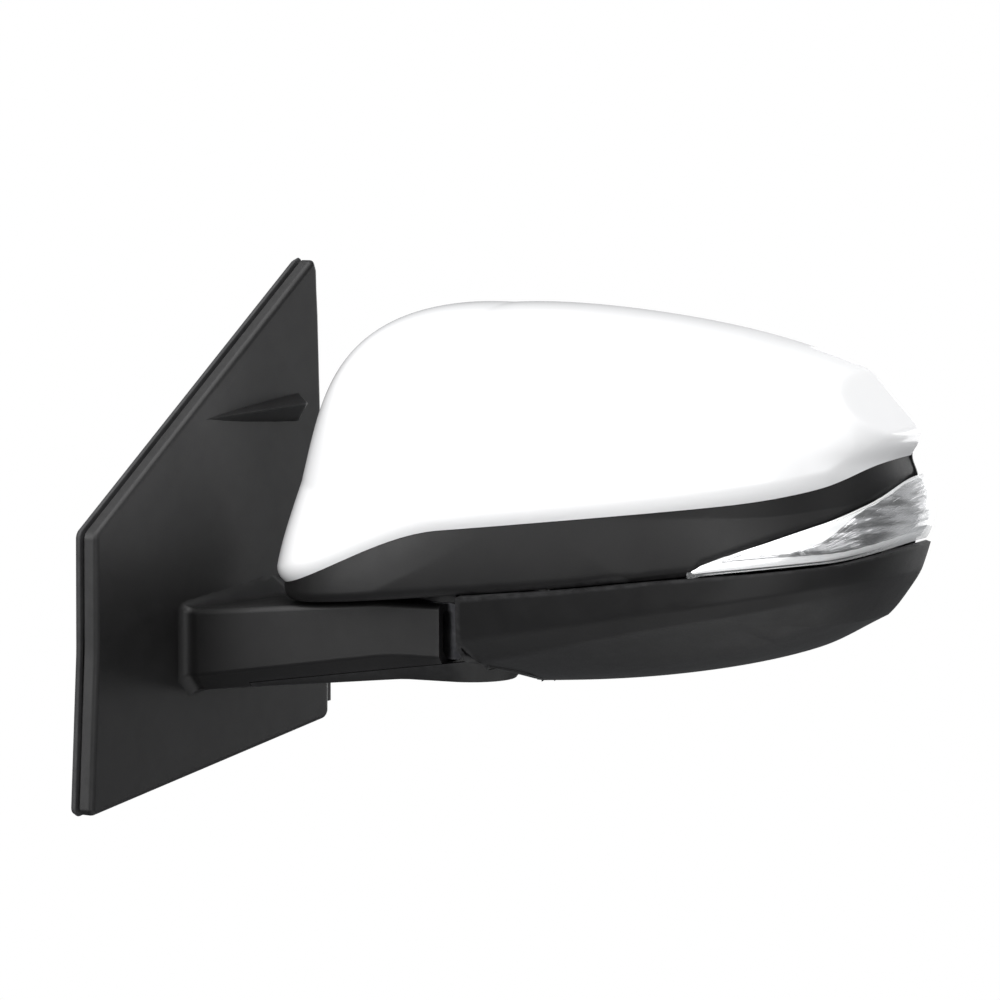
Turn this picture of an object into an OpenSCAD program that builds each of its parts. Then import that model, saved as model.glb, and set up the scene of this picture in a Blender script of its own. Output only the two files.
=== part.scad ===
// Car side mirror: door base with arm, folding head, turn-signal lamp and a
// powered glass. The origin lies on the door face, +X points away from the
// door, -Y towards the front of the car and +Z up.

/* [Door base] */
// Depth of the base cover from the door face to its outer face
base_depth = 10; // [8:0.5:14]
// Thickness of the rubber gasket on the door
gasket_t = 2.5; // [2:0.5:4]
// Wall thickness of the plastic covers
wall = 2.6; // [2:0.1:3]
// Radius of the mounting studs
stud_r = 3; // [2.5:0.5:4]
// Length of the studs beyond the door face
stud_len = 20; // [14:1:30]

/* [Arm and fold pivot] */
// Distance of the fold axis from the door face
pivot_x = 118; // [116:1:122]
// Distance of the fold axis behind the origin
pivot_y = 26; // [24:1:28]
// Height of the arm's top at the fold axis
seat_z = 4.7; // [4:0.1:5]
// Radius of the arm's round end
arm_end_r = 25; // [24:0.5:26]
// Outer radius of the hollow pivot post
post_r = 11; // [10:0.5:11.5]
// Inner radius of the hollow pivot post, which the wires pass through
post_bore_r = 7; // [5:0.5:8]

/* [Head] */
// Angle by which the head is swept back
head_sweep = 8; // [6:1:10]
// Depth of the head's dome in front of its rear rim
dome_depth = 92; // [88:1:96]
// Distance of the rear rim behind the fold axis
rim_y = 40; // [39:0.5:42]
// Distance of the outboard end from the fold axis
head_end = 166; // [164:1:169]
// Exponent of the rim outline: 2 is an ellipse and larger is squarer
rim_power = 4; // [3.6:0.1:4.6]
// How far the black skirt lies inside the painted cap
skirt_inset = 2.8; // [2.5:0.1:3.2]

/* [Glass and actuator] */
// Radius of the mirror glass's corners
glass_corner_r = 14; // [12:1:16]
// Gap around the glass in the rear bezel
glass_gap = 4.2; // [4:0.1:5]
// Distance from the glass's pivot to each plunger
plunger_arm = 28; // [27:1:29]
// Radius of the glass actuator's case
actuator_r = 40; // [40:1:42]

/* [Hidden] */
$fn = 64;

// ---- Base dimensions -------------------------------------------------------
front_top = [-67.5, 31];    // where the slanted top edge meets the front edge
apex = [75, 131.4];         // top of the sail
rear_low = [84, -56];
front_low = [-72, -76.4];
sail_outline = [
    front_top, apex - [2.5, 1], apex, apex + [2, -4.4], [77.3, 119],
    [78, 109], [79.5, 68], [84, -38], rear_low, front_low, [-67.9, -14]
];
gasket_lip = 0.8;
frame_t = 3.5;              // thickness of the frame's door plate
frame_inset = 5.2;
stud_places = [[-33, -46], [62, -36], [56, 74]];
stud_seat = 6.4;            // height of the bosses that hold the studs
peg_places = [[-45, 10], [66, 20]];
grommet_place = [20, -16];
grommet_bore_r = 6.5;
grommet_flange_r = 11.5;
stud_collar_r = stud_r + 0.6;

// ---- Arm dimensions --------------------------------------------------------
arm_bottom = -25.5;         // at the round end
arm_chamfer = 8;
arm_chamfer_h = 10;
plate_r = 20;               // detent plate
plate_t = 3.2;
track_r = 15.5;             // circle that the detent balls run on
detent_r = 2.5;
run_gap = 0.2;
seat_top = seat_z + run_gap; // the plate stands a little above the arm
detent_z = seat_top + run_gap + 1;
core_r = 19;                // metal core inside the arm's plastic
core_low = -16.5;
post_low = -3.5;
post_top = 44;
wire_r = 5.5;
wire_end = [pivot_x, pivot_y, -9];
arm_screw_xs = [68, 94];
arm_screw_y = 22;
screw_sink = 2.2;           // depth of the counterbores for the arm's screws
function arm_floor(x) = arm_bottom - (pivot_x - arm_end_r + arm_chamfer - x) * 0.1027;
// Seam of the arm's lower cover, as [x, z]
arm_seam = [[36, -30.2], [118, -18.4], [150, -13.8]];

// ---- Head dimensions, in the head's own frame ------------------------------
// Its origin is on the fold axis at the height of the arm's root, its x runs
// outboard along the head and its y towards the rear of the car.
dome_centre = [43, 40];
cut_a = -0.17;
lens_a = 0.56;              // tip of the turn-signal lens
shroud_r = arm_end_r + 3;    // hollow of the lower cover around the arm's end
shroud_x = 17.2;            // where the lower cover ends beside the arm
shell_t = 2.2;
floor_t = 2.2;
// Outboard chamfer of the cap: a plane with this normal and distance
facet_normal = [0.835, -0.018, 0.55];
facet_d = 171.1;
end_draw = 4;               // how far the outboard end is drawn in, more towards its tip

// ---- Actuator dimensions ---------------------------------------------------
act_c = [60, 42];           // centre of the glass's pivot, as [x, z]
act_y0 = 6;                 // back of the actuator
act_y1 = 22;                // seam of the actuator's cover
pivot_depth = 30.5;         // y of the glass's pivot
holder_y = 34.2;
holder_t = 2.3;
pad_t = 0.5;
glass_t = 2.2;
glass_y = holder_y + holder_t + pad_t;
// Centres of the glass's corner circles
glass_corners = [
    [-24, 88], [60, 89], [116, 77], [139, 52], [141, 34], [120, 8], [92, 8], [-26, 48]
];
bezel_screw_places = [[-62, 24], [-58, 80], [145, 74]];
gear_teeth = 14;
gear_r = 9.5;
gear_root_r = 8.1;
gear_y = 13.5;
gear_h = 5;
worm_r = 3.1;
worm_core_r = 1.8;
worm_pitch = 4;
worm_gap = gear_r + worm_core_r + 0.3;
plunger_r = 3;
ball_r = 3.8;

// ---- Small helpers ---------------------------------------------------------
function clamp01(t) = min(1, max(0, t));
function smooth(t) = let (c = clamp01(t)) c * c * (3 - 2 * c);
function mix(p, q, t) = p + (q - p) * t;
function sum_power(a, b, p) = pow(pow(abs(a), p) + pow(abs(b), p), 1 / p);

// Extrudes a [y, z] outline from x0 to x1
module along_x(x0, x1) {
    translate([x0, 0, 0]) rotate([90, 0, 90]) linear_extrude(x1 - x0) children();
}

// Extrudes an [x, z] outline from y0 to y1
module along_y(y0, y1) {
    translate([0, y1, 0]) rotate([90, 0, 0]) linear_extrude(y1 - y0) children();
}

// A round bar along y
module rod_y(place, r, y0, y1) {
    translate([place[0], y1, place[1]]) rotate([90, 0, 0]) cylinder(r = r, h = y1 - y0);
}

// A round bar along x
module rod_x(place, r, x0, x1) {
    translate([x0, place[0], place[1]]) rotate([0, 90, 0]) cylinder(r = r, h = x1 - x0);
}

// Puts children modelled in the head's frame in their place on the mirror
module in_head() {
    translate([pivot_x, pivot_y, 0]) rotate([0, 0, head_sweep]) children();
}

// A closed solid between two grids of points with the same numbers of rows
module grid_solid(outer, inner) {
    rows = len(outer);
    cols = len(outer[0]);
    n = rows * cols;
    points = concat([for (r = outer) for (p = r) p], [for (r = inner) for (p = r) p]);
    function at(i, j) = i * cols + j;
    faces = concat(
        [for (i = [0:rows - 2]) for (j = [0:cols - 2])
            [at(i, j), at(i, j + 1), at(i + 1, j + 1), at(i + 1, j)]],
        [for (i = [0:rows - 2]) for (j = [0:cols - 2])
            [n + at(i, j), n + at(i + 1, j), n + at(i + 1, j + 1), n + at(i, j + 1)]],
        [for (i = [0:rows - 2]) [at(i, 0), at(i + 1, 0), n + at(i + 1, 0), n + at(i, 0)]],
        [for (i = [0:rows - 2])
            [at(i + 1, cols - 1), at(i, cols - 1), n + at(i, cols - 1), n + at(i + 1, cols - 1)]],
        [for (j = [0:cols - 2]) [at(0, j + 1), at(0, j), n + at(0, j), n + at(0, j + 1)]],
        [for (j = [0:cols - 2])
            [at(rows - 1, j), at(rows - 1, j + 1), n + at(rows - 1, j + 1), n + at(rows - 1, j)]]
    );
    polyhedron(points = points, faces = faces, convexity = 6);
}

// ---- The head's outer surface ----------------------------------------------
// The surface is a dome over the rear rim. A place on it is given by a and b,
// which run from -1 to 1 across and up the head, and are 1 or -1 on the rim.
function rim_top(x) = 115.5 - 0.00095 * pow(max(x, 0), 2) + 0.1 * max(-x, 0);
function rim_bottom(x) = -29.5 + 0.00079 * pow(max(x + 10, 0), 2) + 0.38 * max(x - 133, 0);
function rim_left(z) = -97 + 0.3 * z;
function corner_power(a, b) = rim_power + 1.2 * clamp01(a) * clamp01(b);

// [x, z] of the place, found by settling x and z against each other
function settle(u, v, x, z, n) =
    n == 0 ? [x, z] :
    let (
        x1 = mix(rim_left(z), head_end + end_draw, (u + 1) / 2),
        z1 = mix(rim_bottom(x1), rim_top(x1), (v + 1) / 2)
    )
    settle(u, v, x1, z1, n - 1);

function plan(a, b) =
    let (
        m = max(abs(a), abs(b)),
        k = m / max(sum_power(a, b, corner_power(a, b)), 0.000001)
    )
    settle(a * k, b * k, dome_centre[0], dome_centre[1], 8);

// Exponent of the dome's section: fuller towards the underside
function dome_power(b) = 2.8 + 1.6 * clamp01(-b / 0.55);

// Point of the surface, inset by the given distance
function dome(a, b, inset) =
    let (
        p = plan(a, b),
        m = max(abs(a), abs(b)),
        h = sqrt(max(0, 1 - pow(m, dome_power(b)))),
        drawn = p[0] - end_draw * pow(clamp01((p[0] - head_end + 16) / (end_draw + 16)), 1.5),
        x = dome_centre[0] + (drawn - dome_centre[0]) * (1 - inset / 110),
        z = dome_centre[1] + (p[1] - dome_centre[1]) * (1 - inset / 70),
        y = rim_y - (dome_depth - inset) * h,
        over = max(0, facet_normal * [x, y, z] - (facet_d - inset)),
        push = over / (pow(facet_normal[0], 2) + pow(facet_normal[2], 2))
    )
    [x - facet_normal[0] * push, y, z - facet_normal[2] * push];

// Lower edge of the painted cap and the seam above the lower cover, as z of x
function cap_edge_z(x) =
    34.5 + 0.115 * x - 17 * smooth((10 - x) / 85) + 10 * pow(clamp01((x - 110) / 62), 3);
function seam_z(x) = 10 + 0.107 * x + 4 * pow(clamp01((x - 150) / 22), 2);
function lens_top_z(x) =
    seam_z(x) + 1.6 + 0.3 * max(0, x - 112) + 3 * pow(clamp01((x - 162) / 8), 2);

// b of the place where the line z of x crosses the given a
function b_on(a, line, low = -1, high = 1, n = 12) =
    n == 0 ? (low + high) / 2 :
    let (mid = (low + high) / 2, p = plan(a, mid))
    p[1] > line(p[0]) ? b_on(a, line, low, mid, n - 1) : b_on(a, line, mid, high, n - 1);
cap_line = function (x) cap_edge_z(x);
seam_line = function (x) seam_z(x);
lens_line = function (x) lens_top_z(x);
skirt_line = function (x) x > 112 ? lens_top_z(x) + 0.6 : seam_z(x);
lower_line = function (x) seam_z(x) - 1.2;
tuck_line = function (x) cap_edge_z(x) + 7;

// Places from a0 to a1, closer together towards the ends of the head
function spread(a0, a1, n) =
    let (t0 = asin(a0), t1 = asin(a1)) [for (i = [0:n]) sin(mix(t0, t1, i / n))];

// Grid of dome points between two lists of b, one column for each a
function patch(as, lows, highs, n, insets) =
    [for (i = [0:len(as) - 1])
        let (t0 = asin(lows[i]), t1 = asin(highs[i]))
        [for (j = [0:n]) dome(as[i], sin(mix(t0, t1, j / n)), insets[i])]];

// Outline of the rear rim as [x, z], inset by the given distance
function rim_outline(inset, n = 14) =
    let (
        side = [for (i = [0:n - 1]) sin(mix(-90, 90, i / n))],
        ring = concat(
            [for (t = side) [t, -1]], [for (t = side) [1, t]],
            [for (t = side) [-t, 1]], [for (t = side) [-1, -t]]
        )
    )
    [for (q = ring) let (p = dome(q[0], q[1], inset)) [p[0], p[2]]];

// ---- Base ------------------------------------------------------------------
module sail(grow) {
    offset(delta = grow) polygon(sail_outline);
}

// The arm's body, inset by g. Its root is deep and its end is round.
module arm_root(g) {
    along_x(base_depth - 3, base_depth + 2) polygon([
        [-14 + g, -1.5 - g], [56 - g, 5.3 - g], [56 - g, -28], [50 - g, -34.4 + g],
        [-8 + g, -34.4 + g], [-14 + g, -28]
    ]);
}
module arm_mid(g) {
    along_x(15.5, 16.5) polygon([
        [-13.8 + g, -1.9 - g], [51 - g, -1.9 - g], [51 - g, -28], [45 - g, -34.2 + g],
        [-7.8 + g, -34.2 + g], [-13.8 + g, -28]
    ]);
}
module arm_end(g) {
    straight = seat_z - arm_bottom - arm_chamfer_h;
    translate([pivot_x, pivot_y, arm_bottom + arm_chamfer_h])
        cylinder(r = arm_end_r - g, h = straight - g, $fn = 48);
    translate([pivot_x, pivot_y, arm_bottom + g])
        cylinder(r1 = arm_end_r - arm_chamfer - g, r2 = arm_end_r - g, h = arm_chamfer_h - g, $fn = 48);
}
module arm_body(g) {
    hull() {
        arm_root(g);
        arm_mid(g);
    }
    hull() {
        arm_mid(g);
        arm_end(g);
    }
}
module arm_seam_zone(gap) {
    translate([0, 100, 0]) rotate([90, 0, 0]) linear_extrude(200)
        polygon(concat(
            [[arm_seam[0][0] - gap, -60]],
            [for (p = arm_seam) p + [p == arm_seam[0] ? -gap : 0, gap]],
            [[arm_seam[2][0], -60]]
        ));
}

// Small fin on the sail that steers rain away
module fin() {
    hull() {
        along_x(base_depth - 1, base_depth + 0.2) polygon([[3, 70.5], [64, 77], [64, 66]]);
        along_x(base_depth + 5, base_depth + 6) polygon([[30, 71.5], [62, 74.5], [62, 71]]);
    }
}

// Way of the wires from the grommet through the arm to the hollow post
module wire_channel() {
    start = [8, grommet_place[0], grommet_place[1]];
    way = wire_end - start;
    translate(start) rotate([0, acos(way[2] / norm(way)), atan2(way[1], way[0])])
        cylinder(r = wire_r, h = norm(way));
}

module base_frame() {
    color("dimgray") difference() {
        union() {
            along_x(0, frame_t) sail(-frame_inset);
            hull() {
                along_x(0, 8) polygon([[2, -6], [42, -6], [42, -26], [2, -26]]);
                translate([pivot_x, pivot_y, core_low]) cylinder(r = core_r, h = 17, $fn = 32);
            }
            translate([pivot_x, pivot_y, core_low])
                cylinder(r = core_r, h = seat_top - plate_t - core_low);
            for (p = stud_places) rod_x(p, 9, 0, stud_seat);
            for (p = peg_places) rod_x(p, 4, -8, 1);
            for (x = arm_screw_xs) translate([x, arm_screw_y, arm_floor(x) + 4.5])
                cylinder(r = 4, h = 10);
        }
        translate([pivot_x, pivot_y, post_low]) cylinder(r = post_r, h = 60);
        translate([pivot_x, pivot_y, wire_end[2]]) cylinder(r = post_bore_r, h = 60);
        rod_x(grommet_place, grommet_bore_r + 1.5, -1, 12);
        rod_x(grommet_place, grommet_flange_r + 0.3, -1, 1.4);
        wire_channel();
        for (p = stud_places) rod_x(p, stud_collar_r, -1, stud_seat + 1);
        for (x = arm_screw_xs) translate([x, arm_screw_y, arm_floor(x)]) cylinder(r = 1.5, h = 12);
    }
}

module base_cover() {
    color([0.13, 0.13, 0.14]) difference() {
        union() {
            along_x(gasket_t + run_gap, base_depth) sail(0);
            along_x(gasket_t + run_gap, 7) translate([82, -50]) square([7, 30]);
            fin();
            difference() {
                arm_body(0);
                arm_seam_zone(0.3);
            }
        }
        along_x(-1, base_depth - wall) sail(-wall);
        arm_body(wall);
        along_x(0, base_depth + 1) polygon([
            [-14 + wall, -1.5 - wall], [56 - wall, 5.3 - wall],
            [56 - wall, -34.4 + wall], [-14 + wall, -34.4 + wall]
        ]);
        translate([pivot_x, pivot_y, -8]) cylinder(r = plate_r + 0.3, h = 30);
    }
}

module arm_lower_cover() {
    color([0.13, 0.13, 0.14]) difference() {
        intersection() {
            arm_body(0);
            arm_seam_zone(0);
        }
        intersection() {
            arm_body(1.8);
            difference() {
                translate([arm_seam[0][0] + 2.5, -50, -60]) cube([150, 150, 100]);
                for (x = arm_screw_xs) translate([x, arm_screw_y, -60])
                    cylinder(r = 5.5, h = 60 + arm_floor(x) + 4.2);
            }
        }
        for (x = arm_screw_xs) translate([x, arm_screw_y, -60]) {
            cylinder(r = 1.8, h = 50);
            cylinder(r = 3.6, h = 60 + arm_floor(x) + screw_sink);
        }
    }
}

module gasket() {
    color([0.06, 0.06, 0.06]) difference() {
        along_x(0, gasket_t) sail(gasket_lip);
        along_x(-1, gasket_t + 1) sail(-frame_inset + 0.4);
    }
}

module mounting_studs() {
    color("silver") for (p = stud_places) {
        rod_x(p, stud_r, -stud_len, 0);
        rod_x(p, stud_collar_r, 0, stud_seat);
        rod_x(p, stud_r + 3, stud_seat, stud_seat + 0.8);
    }
}

module cable_grommet() {
    color([0.06, 0.06, 0.06]) translate([0, grommet_place[0], grommet_place[1]])
        rotate([0, 90, 0]) rotate_extrude() polygon([
            [grommet_bore_r, -14], [grommet_bore_r, 8], [grommet_bore_r + 1.4, 8],
            [grommet_bore_r + 1.4, 1.2], [grommet_flange_r, 1.2],
            [grommet_flange_r, -2.4], [grommet_bore_r + 1.4, -14]
        ]);
}

// A countersunk-style screw along +Z with its head at the bottom
module small_screw(head_r, shank_r, length) {
    cylinder(r = head_r, h = 1.6);
    cylinder(r = shank_r, h = length);
}

module arm_screws() {
    color("silver") for (x = arm_screw_xs)
        translate([x, arm_screw_y, arm_floor(x) + 0.5]) small_screw(3.2, 1.45, 10);
}

module pivot_post() {
    color("silver") translate([pivot_x, pivot_y, 0]) difference() {
        translate([0, 0, post_low]) cylinder(r = post_r - 0.03, h = post_top - post_low);
        translate([0, 0, post_low - 1]) cylinder(r = post_bore_r, h = 80);
    }
}

// The detent balls run in a groove and drop into three deeper pockets in the
// driving position
module detent_plate() {
    color("gray") translate([pivot_x, pivot_y, seat_top - plate_t]) difference() {
        cylinder(r = plate_r, h = plate_t);
        translate([0, 0, -1]) cylinder(r = post_r + 0.1, h = plate_t + 2);
        translate([0, 0, detent_z - seat_top + plate_t]) {
            rotate_extrude() translate([track_r, 0]) circle(r = detent_r + 0.35, $fn = 32);
            for (i = [0:2]) rotate([0, 0, head_sweep + 120 * i]) translate([track_r, 0, 0])
                sphere(r = detent_r + 0.7, $fn = 32);
        }
    }
}

module spring_retainer() {
    color("silver") translate([pivot_x, pivot_y, 38.4]) difference() {
        cylinder(r = 16.4, h = 2);
        translate([0, 0, -1]) cylinder(r = post_r, h = 5);
    }
}

// ---- Head ------------------------------------------------------------------
module head_frame() {
    color("dimgray") in_head() difference() {
        union() {
            translate([0, 0, seat_top + run_gap]) cylinder(r = plate_r - 0.5, h = 38);
            along_y(0, act_y0 - 0.2) polygon([
                [12, 15], [33, 15], [36, 4], [98, 4], [108, 20], [108, 66], [90, 84], [12, 84]
            ]);
            translate([8, -14, 16]) cube([8, 20, 26]);
        }
        translate([0, 0, seat_top - 1]) cylinder(r = post_r + 0.05, h = 12);
        translate([0, 0, seat_top + 8]) cylinder(r = 17, h = 50);
        for (p = [[30, 66], [46, 66], [92, 42], [30, 18]]) rod_y(p, 7, -1, 12);
        for (a = [90, 210, 330])
            rod_y(act_c + 36 * [cos(a), sin(a)], 1.6, -1, 12);
        for (i = [0:2]) rotate([0, 0, 120 * i]) translate([track_r, 0, detent_z])
            sphere(r = detent_r + 0.1);
    }
}

module detent_balls() {
    color("silver") in_head() for (i = [0:2]) rotate([0, 0, 120 * i])
        translate([track_r, 0, detent_z]) sphere(r = detent_r, $fn = 24);
}

// A closed ring of wire for each coil of the fold spring
module fold_spring() {
    coils = 5;
    low = seat_top + 8 + 1.8;
    high = 38.4 - 1.8;
    color("silver") in_head() for (i = [0:coils - 1])
        translate([0, 0, mix(low, high, i / (coils - 1))])
            rotate_extrude($fn = 32) translate([14.2, 0]) circle(r = 1.7, $fn = 16);
}

// The floor between the skirt's lower edge and the rear, over the arm
module head_floor() {
    as = spread(-0.96, cut_a, 10);
    edge = [for (a = as) dome(a, b_on(a, skirt_line), skirt_inset + 1)];
    up = [0, 0, floor_t];
    outer = [for (p = edge) [p, [p[0], rim_y - 10, max(p[2], seam_z(p[0]) - 1)]]];
    grid_solid([for (r = outer) [for (p = r) p + up]], outer);
}

module front_housing() {
    as = spread(-1, 1, 26);
    lows = [for (a = as) b_on(a, skirt_line)];
    highs = [for (a = as) b_on(a, tuck_line)];
    outset = [for (a = as) skirt_inset];
    inset = [for (a = as) skirt_inset + shell_t];
    color([0.13, 0.13, 0.14]) in_head() difference() {
        union() {
            grid_solid(patch(as, lows, highs, 4, outset), patch(as, lows, highs, 4, inset));
            head_floor();
        }
        translate([0, 0, -20]) cylinder(r = plate_r + 0.6, h = 80);
    }
}

module painted_cap() {
    as = spread(-1, 1, 30);
    lows = [for (a = as) b_on(a, cap_line)];
    highs = [for (a = as) 1];
    outset = [for (a = as) 0];
    inset = [for (a = as) shell_t];
    color("white") in_head()
        grid_solid(patch(as, lows, highs, 14, outset), patch(as, lows, highs, 14, inset));
}

// How far the lamp and the lower cover stand proud towards the outboard end
function proud(a) = -3.2 * pow(clamp01((a - 0.3) / 0.7), 2) - 2 * pow(clamp01((a - 0.75) / 0.25), 2);

// End wall of the lower cover, hollowed around the arm's round end
module shroud() {
    steps = 20;
    rows = 7;
    low_back = rim_bottom(shroud_x) + shell_t;
    inner = [for (j = [0:rows])
        let (
            front = dome(cut_a, mix(-0.93, b_on(cut_a, lower_line), j / rows), 1),
            back_z = mix(low_back, lower_line(shroud_x), j / rows)
        )
        [for (i = [0:steps])
            let (
                y = mix(front[1], rim_y - 1, i / steps),
                x = max(shroud_x, sqrt(max(0, pow(shroud_r, 2) - y * y)))
            )
            [x, y, mix(front[2], back_z, i / steps)]]];
    grid_solid(inner, [for (r = inner) [for (p = r) p + [shell_t, 0, 0]]]);
}

module lower_cover() {
    as = spread(cut_a, 1, 16);
    lows = [for (a = as) -1];
    highs = [for (a = as) b_on(a, lower_line)];
    outset = [for (a = as) proud(a)];
    inset = [for (a = as) proud(a) + shell_t];
    color([0.13, 0.13, 0.14]) in_head() {
        difference() {
            grid_solid(patch(as, lows, highs, 9, outset), patch(as, lows, highs, 9, inset));
            translate([0, 0, -60]) cylinder(r = shroud_r + 0.6, h = 90);
            translate([shroud_x - 59.5, -100, -60]) cube([60, 200, 120]);
        }
        shroud();
    }
}

module glass_outline(grow) {
    offset(delta = grow) hull() for (p = glass_corners)
        translate(p) circle(r = glass_corner_r, $fn = 32);
}

// Outline of the rear rim without the step over the arm, which can be kept
// clear by a margin
module rim_area(inset, margin = 0) {
    difference() {
        polygon(rim_outline(inset));
        offset(delta = margin)
            polygon([[-150, seam_z(-150)], [16, seam_z(16)], [17, -80], [-150, -80]]);
    }
}

module rear_bezel() {
    color([0.13, 0.13, 0.14]) in_head() difference() {
        union() {
            along_y(rim_y + 0.2, rim_y + 2.4) rim_area(0.3);
            along_y(rim_y - 7, rim_y + 0.4) difference() {
                rim_area(6.5, 8);
                offset(delta = -2) rim_area(6.5, 8);
            }
            along_y(rim_y - 7, rim_y + 0.4) intersection() {
                glass_outline(glass_gap + 2);
                rim_area(3.5, 6);
            }
            for (p = bezel_screw_places) rod_y(p, 4.4, rim_y - 9, rim_y + 0.4);
        }
        along_y(rim_y - 10, rim_y + 3) glass_outline(glass_gap);
        for (p = bezel_screw_places) {
            rod_y(p, 3.1, rim_y - 1.7, rim_y + 3);
            rod_y(p, 1.7, rim_y - 10, rim_y);
        }
    }
}

module bezel_screws() {
    color("silver") in_head() for (p = bezel_screw_places)
        translate([p[0], rim_y, p[1]]) rotate([90, 0, 0]) small_screw(2.8, 1.4, 9);
}

// ---- Turn-signal lamp ------------------------------------------------------
module lamp_layer(a0, a1, inset0, inset1, low_gap, high_gap) {
    as = spread(a0, a1, 12);
    low = function (x) seam_z(x) + low_gap;
    high = function (x) max(seam_z(x) + low_gap + 0.8, lens_top_z(x) - high_gap);
    lows = [for (a = as) b_on(a, low)];
    highs = [for (a = as) b_on(a, high)];
    grid_solid(
        patch(as, lows, highs, 4, [for (a = as) proud(a) + inset0]),
        patch(as, lows, highs, 4, [for (a = as) proud(a) + inset1])
    );
}
module indicator_lens() {
    color([0.9, 0.93, 0.95, 0.5]) in_head() lamp_layer(lens_a + 0.01, 1, 0, 1.4, 0.2, 0);
}
module indicator_reflector() {
    color("silver") in_head() lamp_layer(lens_a + 0.04, 0.99, 3.4, 4.4, 1, 1);
}
module indicator_housing() {
    color([0.1, 0.1, 0.1]) in_head() lamp_layer(lens_a + 0.03, 0.98, 8.6, 9.8, 0.6, 0.6);
}
// A flexible circuit board that follows the lamp's curve, and its light sources
module led_board() {
    color("green") in_head() lamp_layer(0.82, 0.975, 6.4, 7.2, 2.4, 2.4);
}
module leds() {
    color("gold") in_head() for (a = [0.86, 0.92, 0.96])
        lamp_layer(a - 0.008, a + 0.008, 5, 6.3, 4, 4);
}

// ---- Glass actuator --------------------------------------------------------
pan_place = act_c + [plunger_arm, 0];
tilt_place = act_c - [0, plunger_arm];
pan_worm_x = pan_place[0] - worm_gap;
tilt_worm_z = tilt_place[1] + worm_gap;
worm_y = gear_y + gear_h / 2;
screw_places = [for (a = [90, 210, 330]) act_c + 36 * [cos(a), sin(a)]];
motor_r = 5.5;
motor_len = 16;
worm_len = 15;

module actuator_base() {
    color([0.2, 0.2, 0.2]) in_head() difference() {
        union() {
            difference() {
                rod_y(act_c, actuator_r, act_y0, act_y1);
                rod_y(act_c, actuator_r - 2.2, act_y0 + 2, act_y1 + 1);
            }
            for (p = screw_places) rod_y(p, 3.4, act_y0, act_y1 - 1);
            for (p = [pan_place, tilt_place]) difference() {
                rod_y(p, gear_root_r - 1.6, act_y0, gear_y - 0.2);
                rod_y(p, 5.2, act_y0 - 1, gear_y + 1);
            }
        }
        for (p = screw_places) rod_y(p, 1.2, act_y0 - 1, act_y1 + 1);
    }
}

module actuator_cover() {
    color([0.2, 0.2, 0.2]) in_head() difference() {
        union() {
            rod_y(act_c, actuator_r, act_y1 + 0.1, act_y1 + 2.4);
            for (s = [-1, 1]) translate([act_c[0] - 3, act_y1 + 1, act_c[1] + s * 14 - 1.5])
                cube([6, pivot_depth - act_y1 + 1.4, 3]);
        }
        for (p = [pan_place, tilt_place]) rod_y(p, 8.4, act_y1 - 1, act_y1 + 5);
        for (p = screw_places) {
            rod_y(p, 1.7, act_y1 - 1, act_y1 + 5);
            rod_y(p, 3.1, act_y1 + 1.8, act_y1 + 5);
        }
        translate([act_c[0], pivot_depth, act_c[1] - 20]) cylinder(r = 1.65, h = 40);
    }
}

module actuator_screws() {
    color("silver") in_head() for (p = screw_places)
        translate([p[0], act_y1 + 3.5, p[1]]) rotate([90, 0, 0]) small_screw(2.8, 1.15, 13.4);
}

module motor() {
    difference() {
        cylinder(r = motor_r, h = motor_len);
        for (s = [-1, 1]) translate([-10, s * (motor_r + 0.4) - 1, -1]) cube([20, 2, 30]);
    }
    translate([0, 0, motor_len]) cylinder(r = 2.4, h = 1);
}
module pan_motor() {
    color("silver") in_head()
        translate([pan_worm_x, worm_y, pan_place[1] + 10]) motor();
}
module tilt_motor() {
    color("silver") in_head()
        translate([tilt_place[0] - 10, worm_y, tilt_worm_z]) rotate([0, -90, 0]) motor();
}

// A worm along +Z, centred on the origin, with its shaft running up
module worm(turns = 3, seg = 12) {
    cylinder(r = worm_core_r, h = worm_len, center = true);
    ring = function (i) let (
        t = 360 * i / seg,
        z = worm_pitch * (i / seg - turns / 2),
        d = [cos(t), sin(t), 0]
    ) [
        d * (worm_core_r - 0.4) + [0, 0, z - 0.9], d * worm_r + [0, 0, z - 0.45],
        d * worm_r + [0, 0, z + 0.45], d * (worm_core_r - 0.4) + [0, 0, z + 0.9]
    ];
    n = turns * seg;
    polyhedron(
        points = [for (i = [0:n]) for (p = ring(i)) p],
        faces = concat(
            [[3, 2, 1, 0]], [[4 * n, 4 * n + 1, 4 * n + 2, 4 * n + 3]],
            [for (i = [0:n - 1]) for (k = [0:3])
                [4 * i + (k + 1) % 4, 4 * (i + 1) + (k + 1) % 4, 4 * (i + 1) + k, 4 * i + k]]
        ),
        convexity = 6
    );
}
module pan_worm() {
    color("ivory") in_head() translate([pan_worm_x, worm_y, pan_place[1]]) worm();
}
module tilt_worm() {
    color("ivory") in_head() translate([tilt_place[0], worm_y, tilt_worm_z])
        rotate([0, -90, 0]) worm();
}

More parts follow.
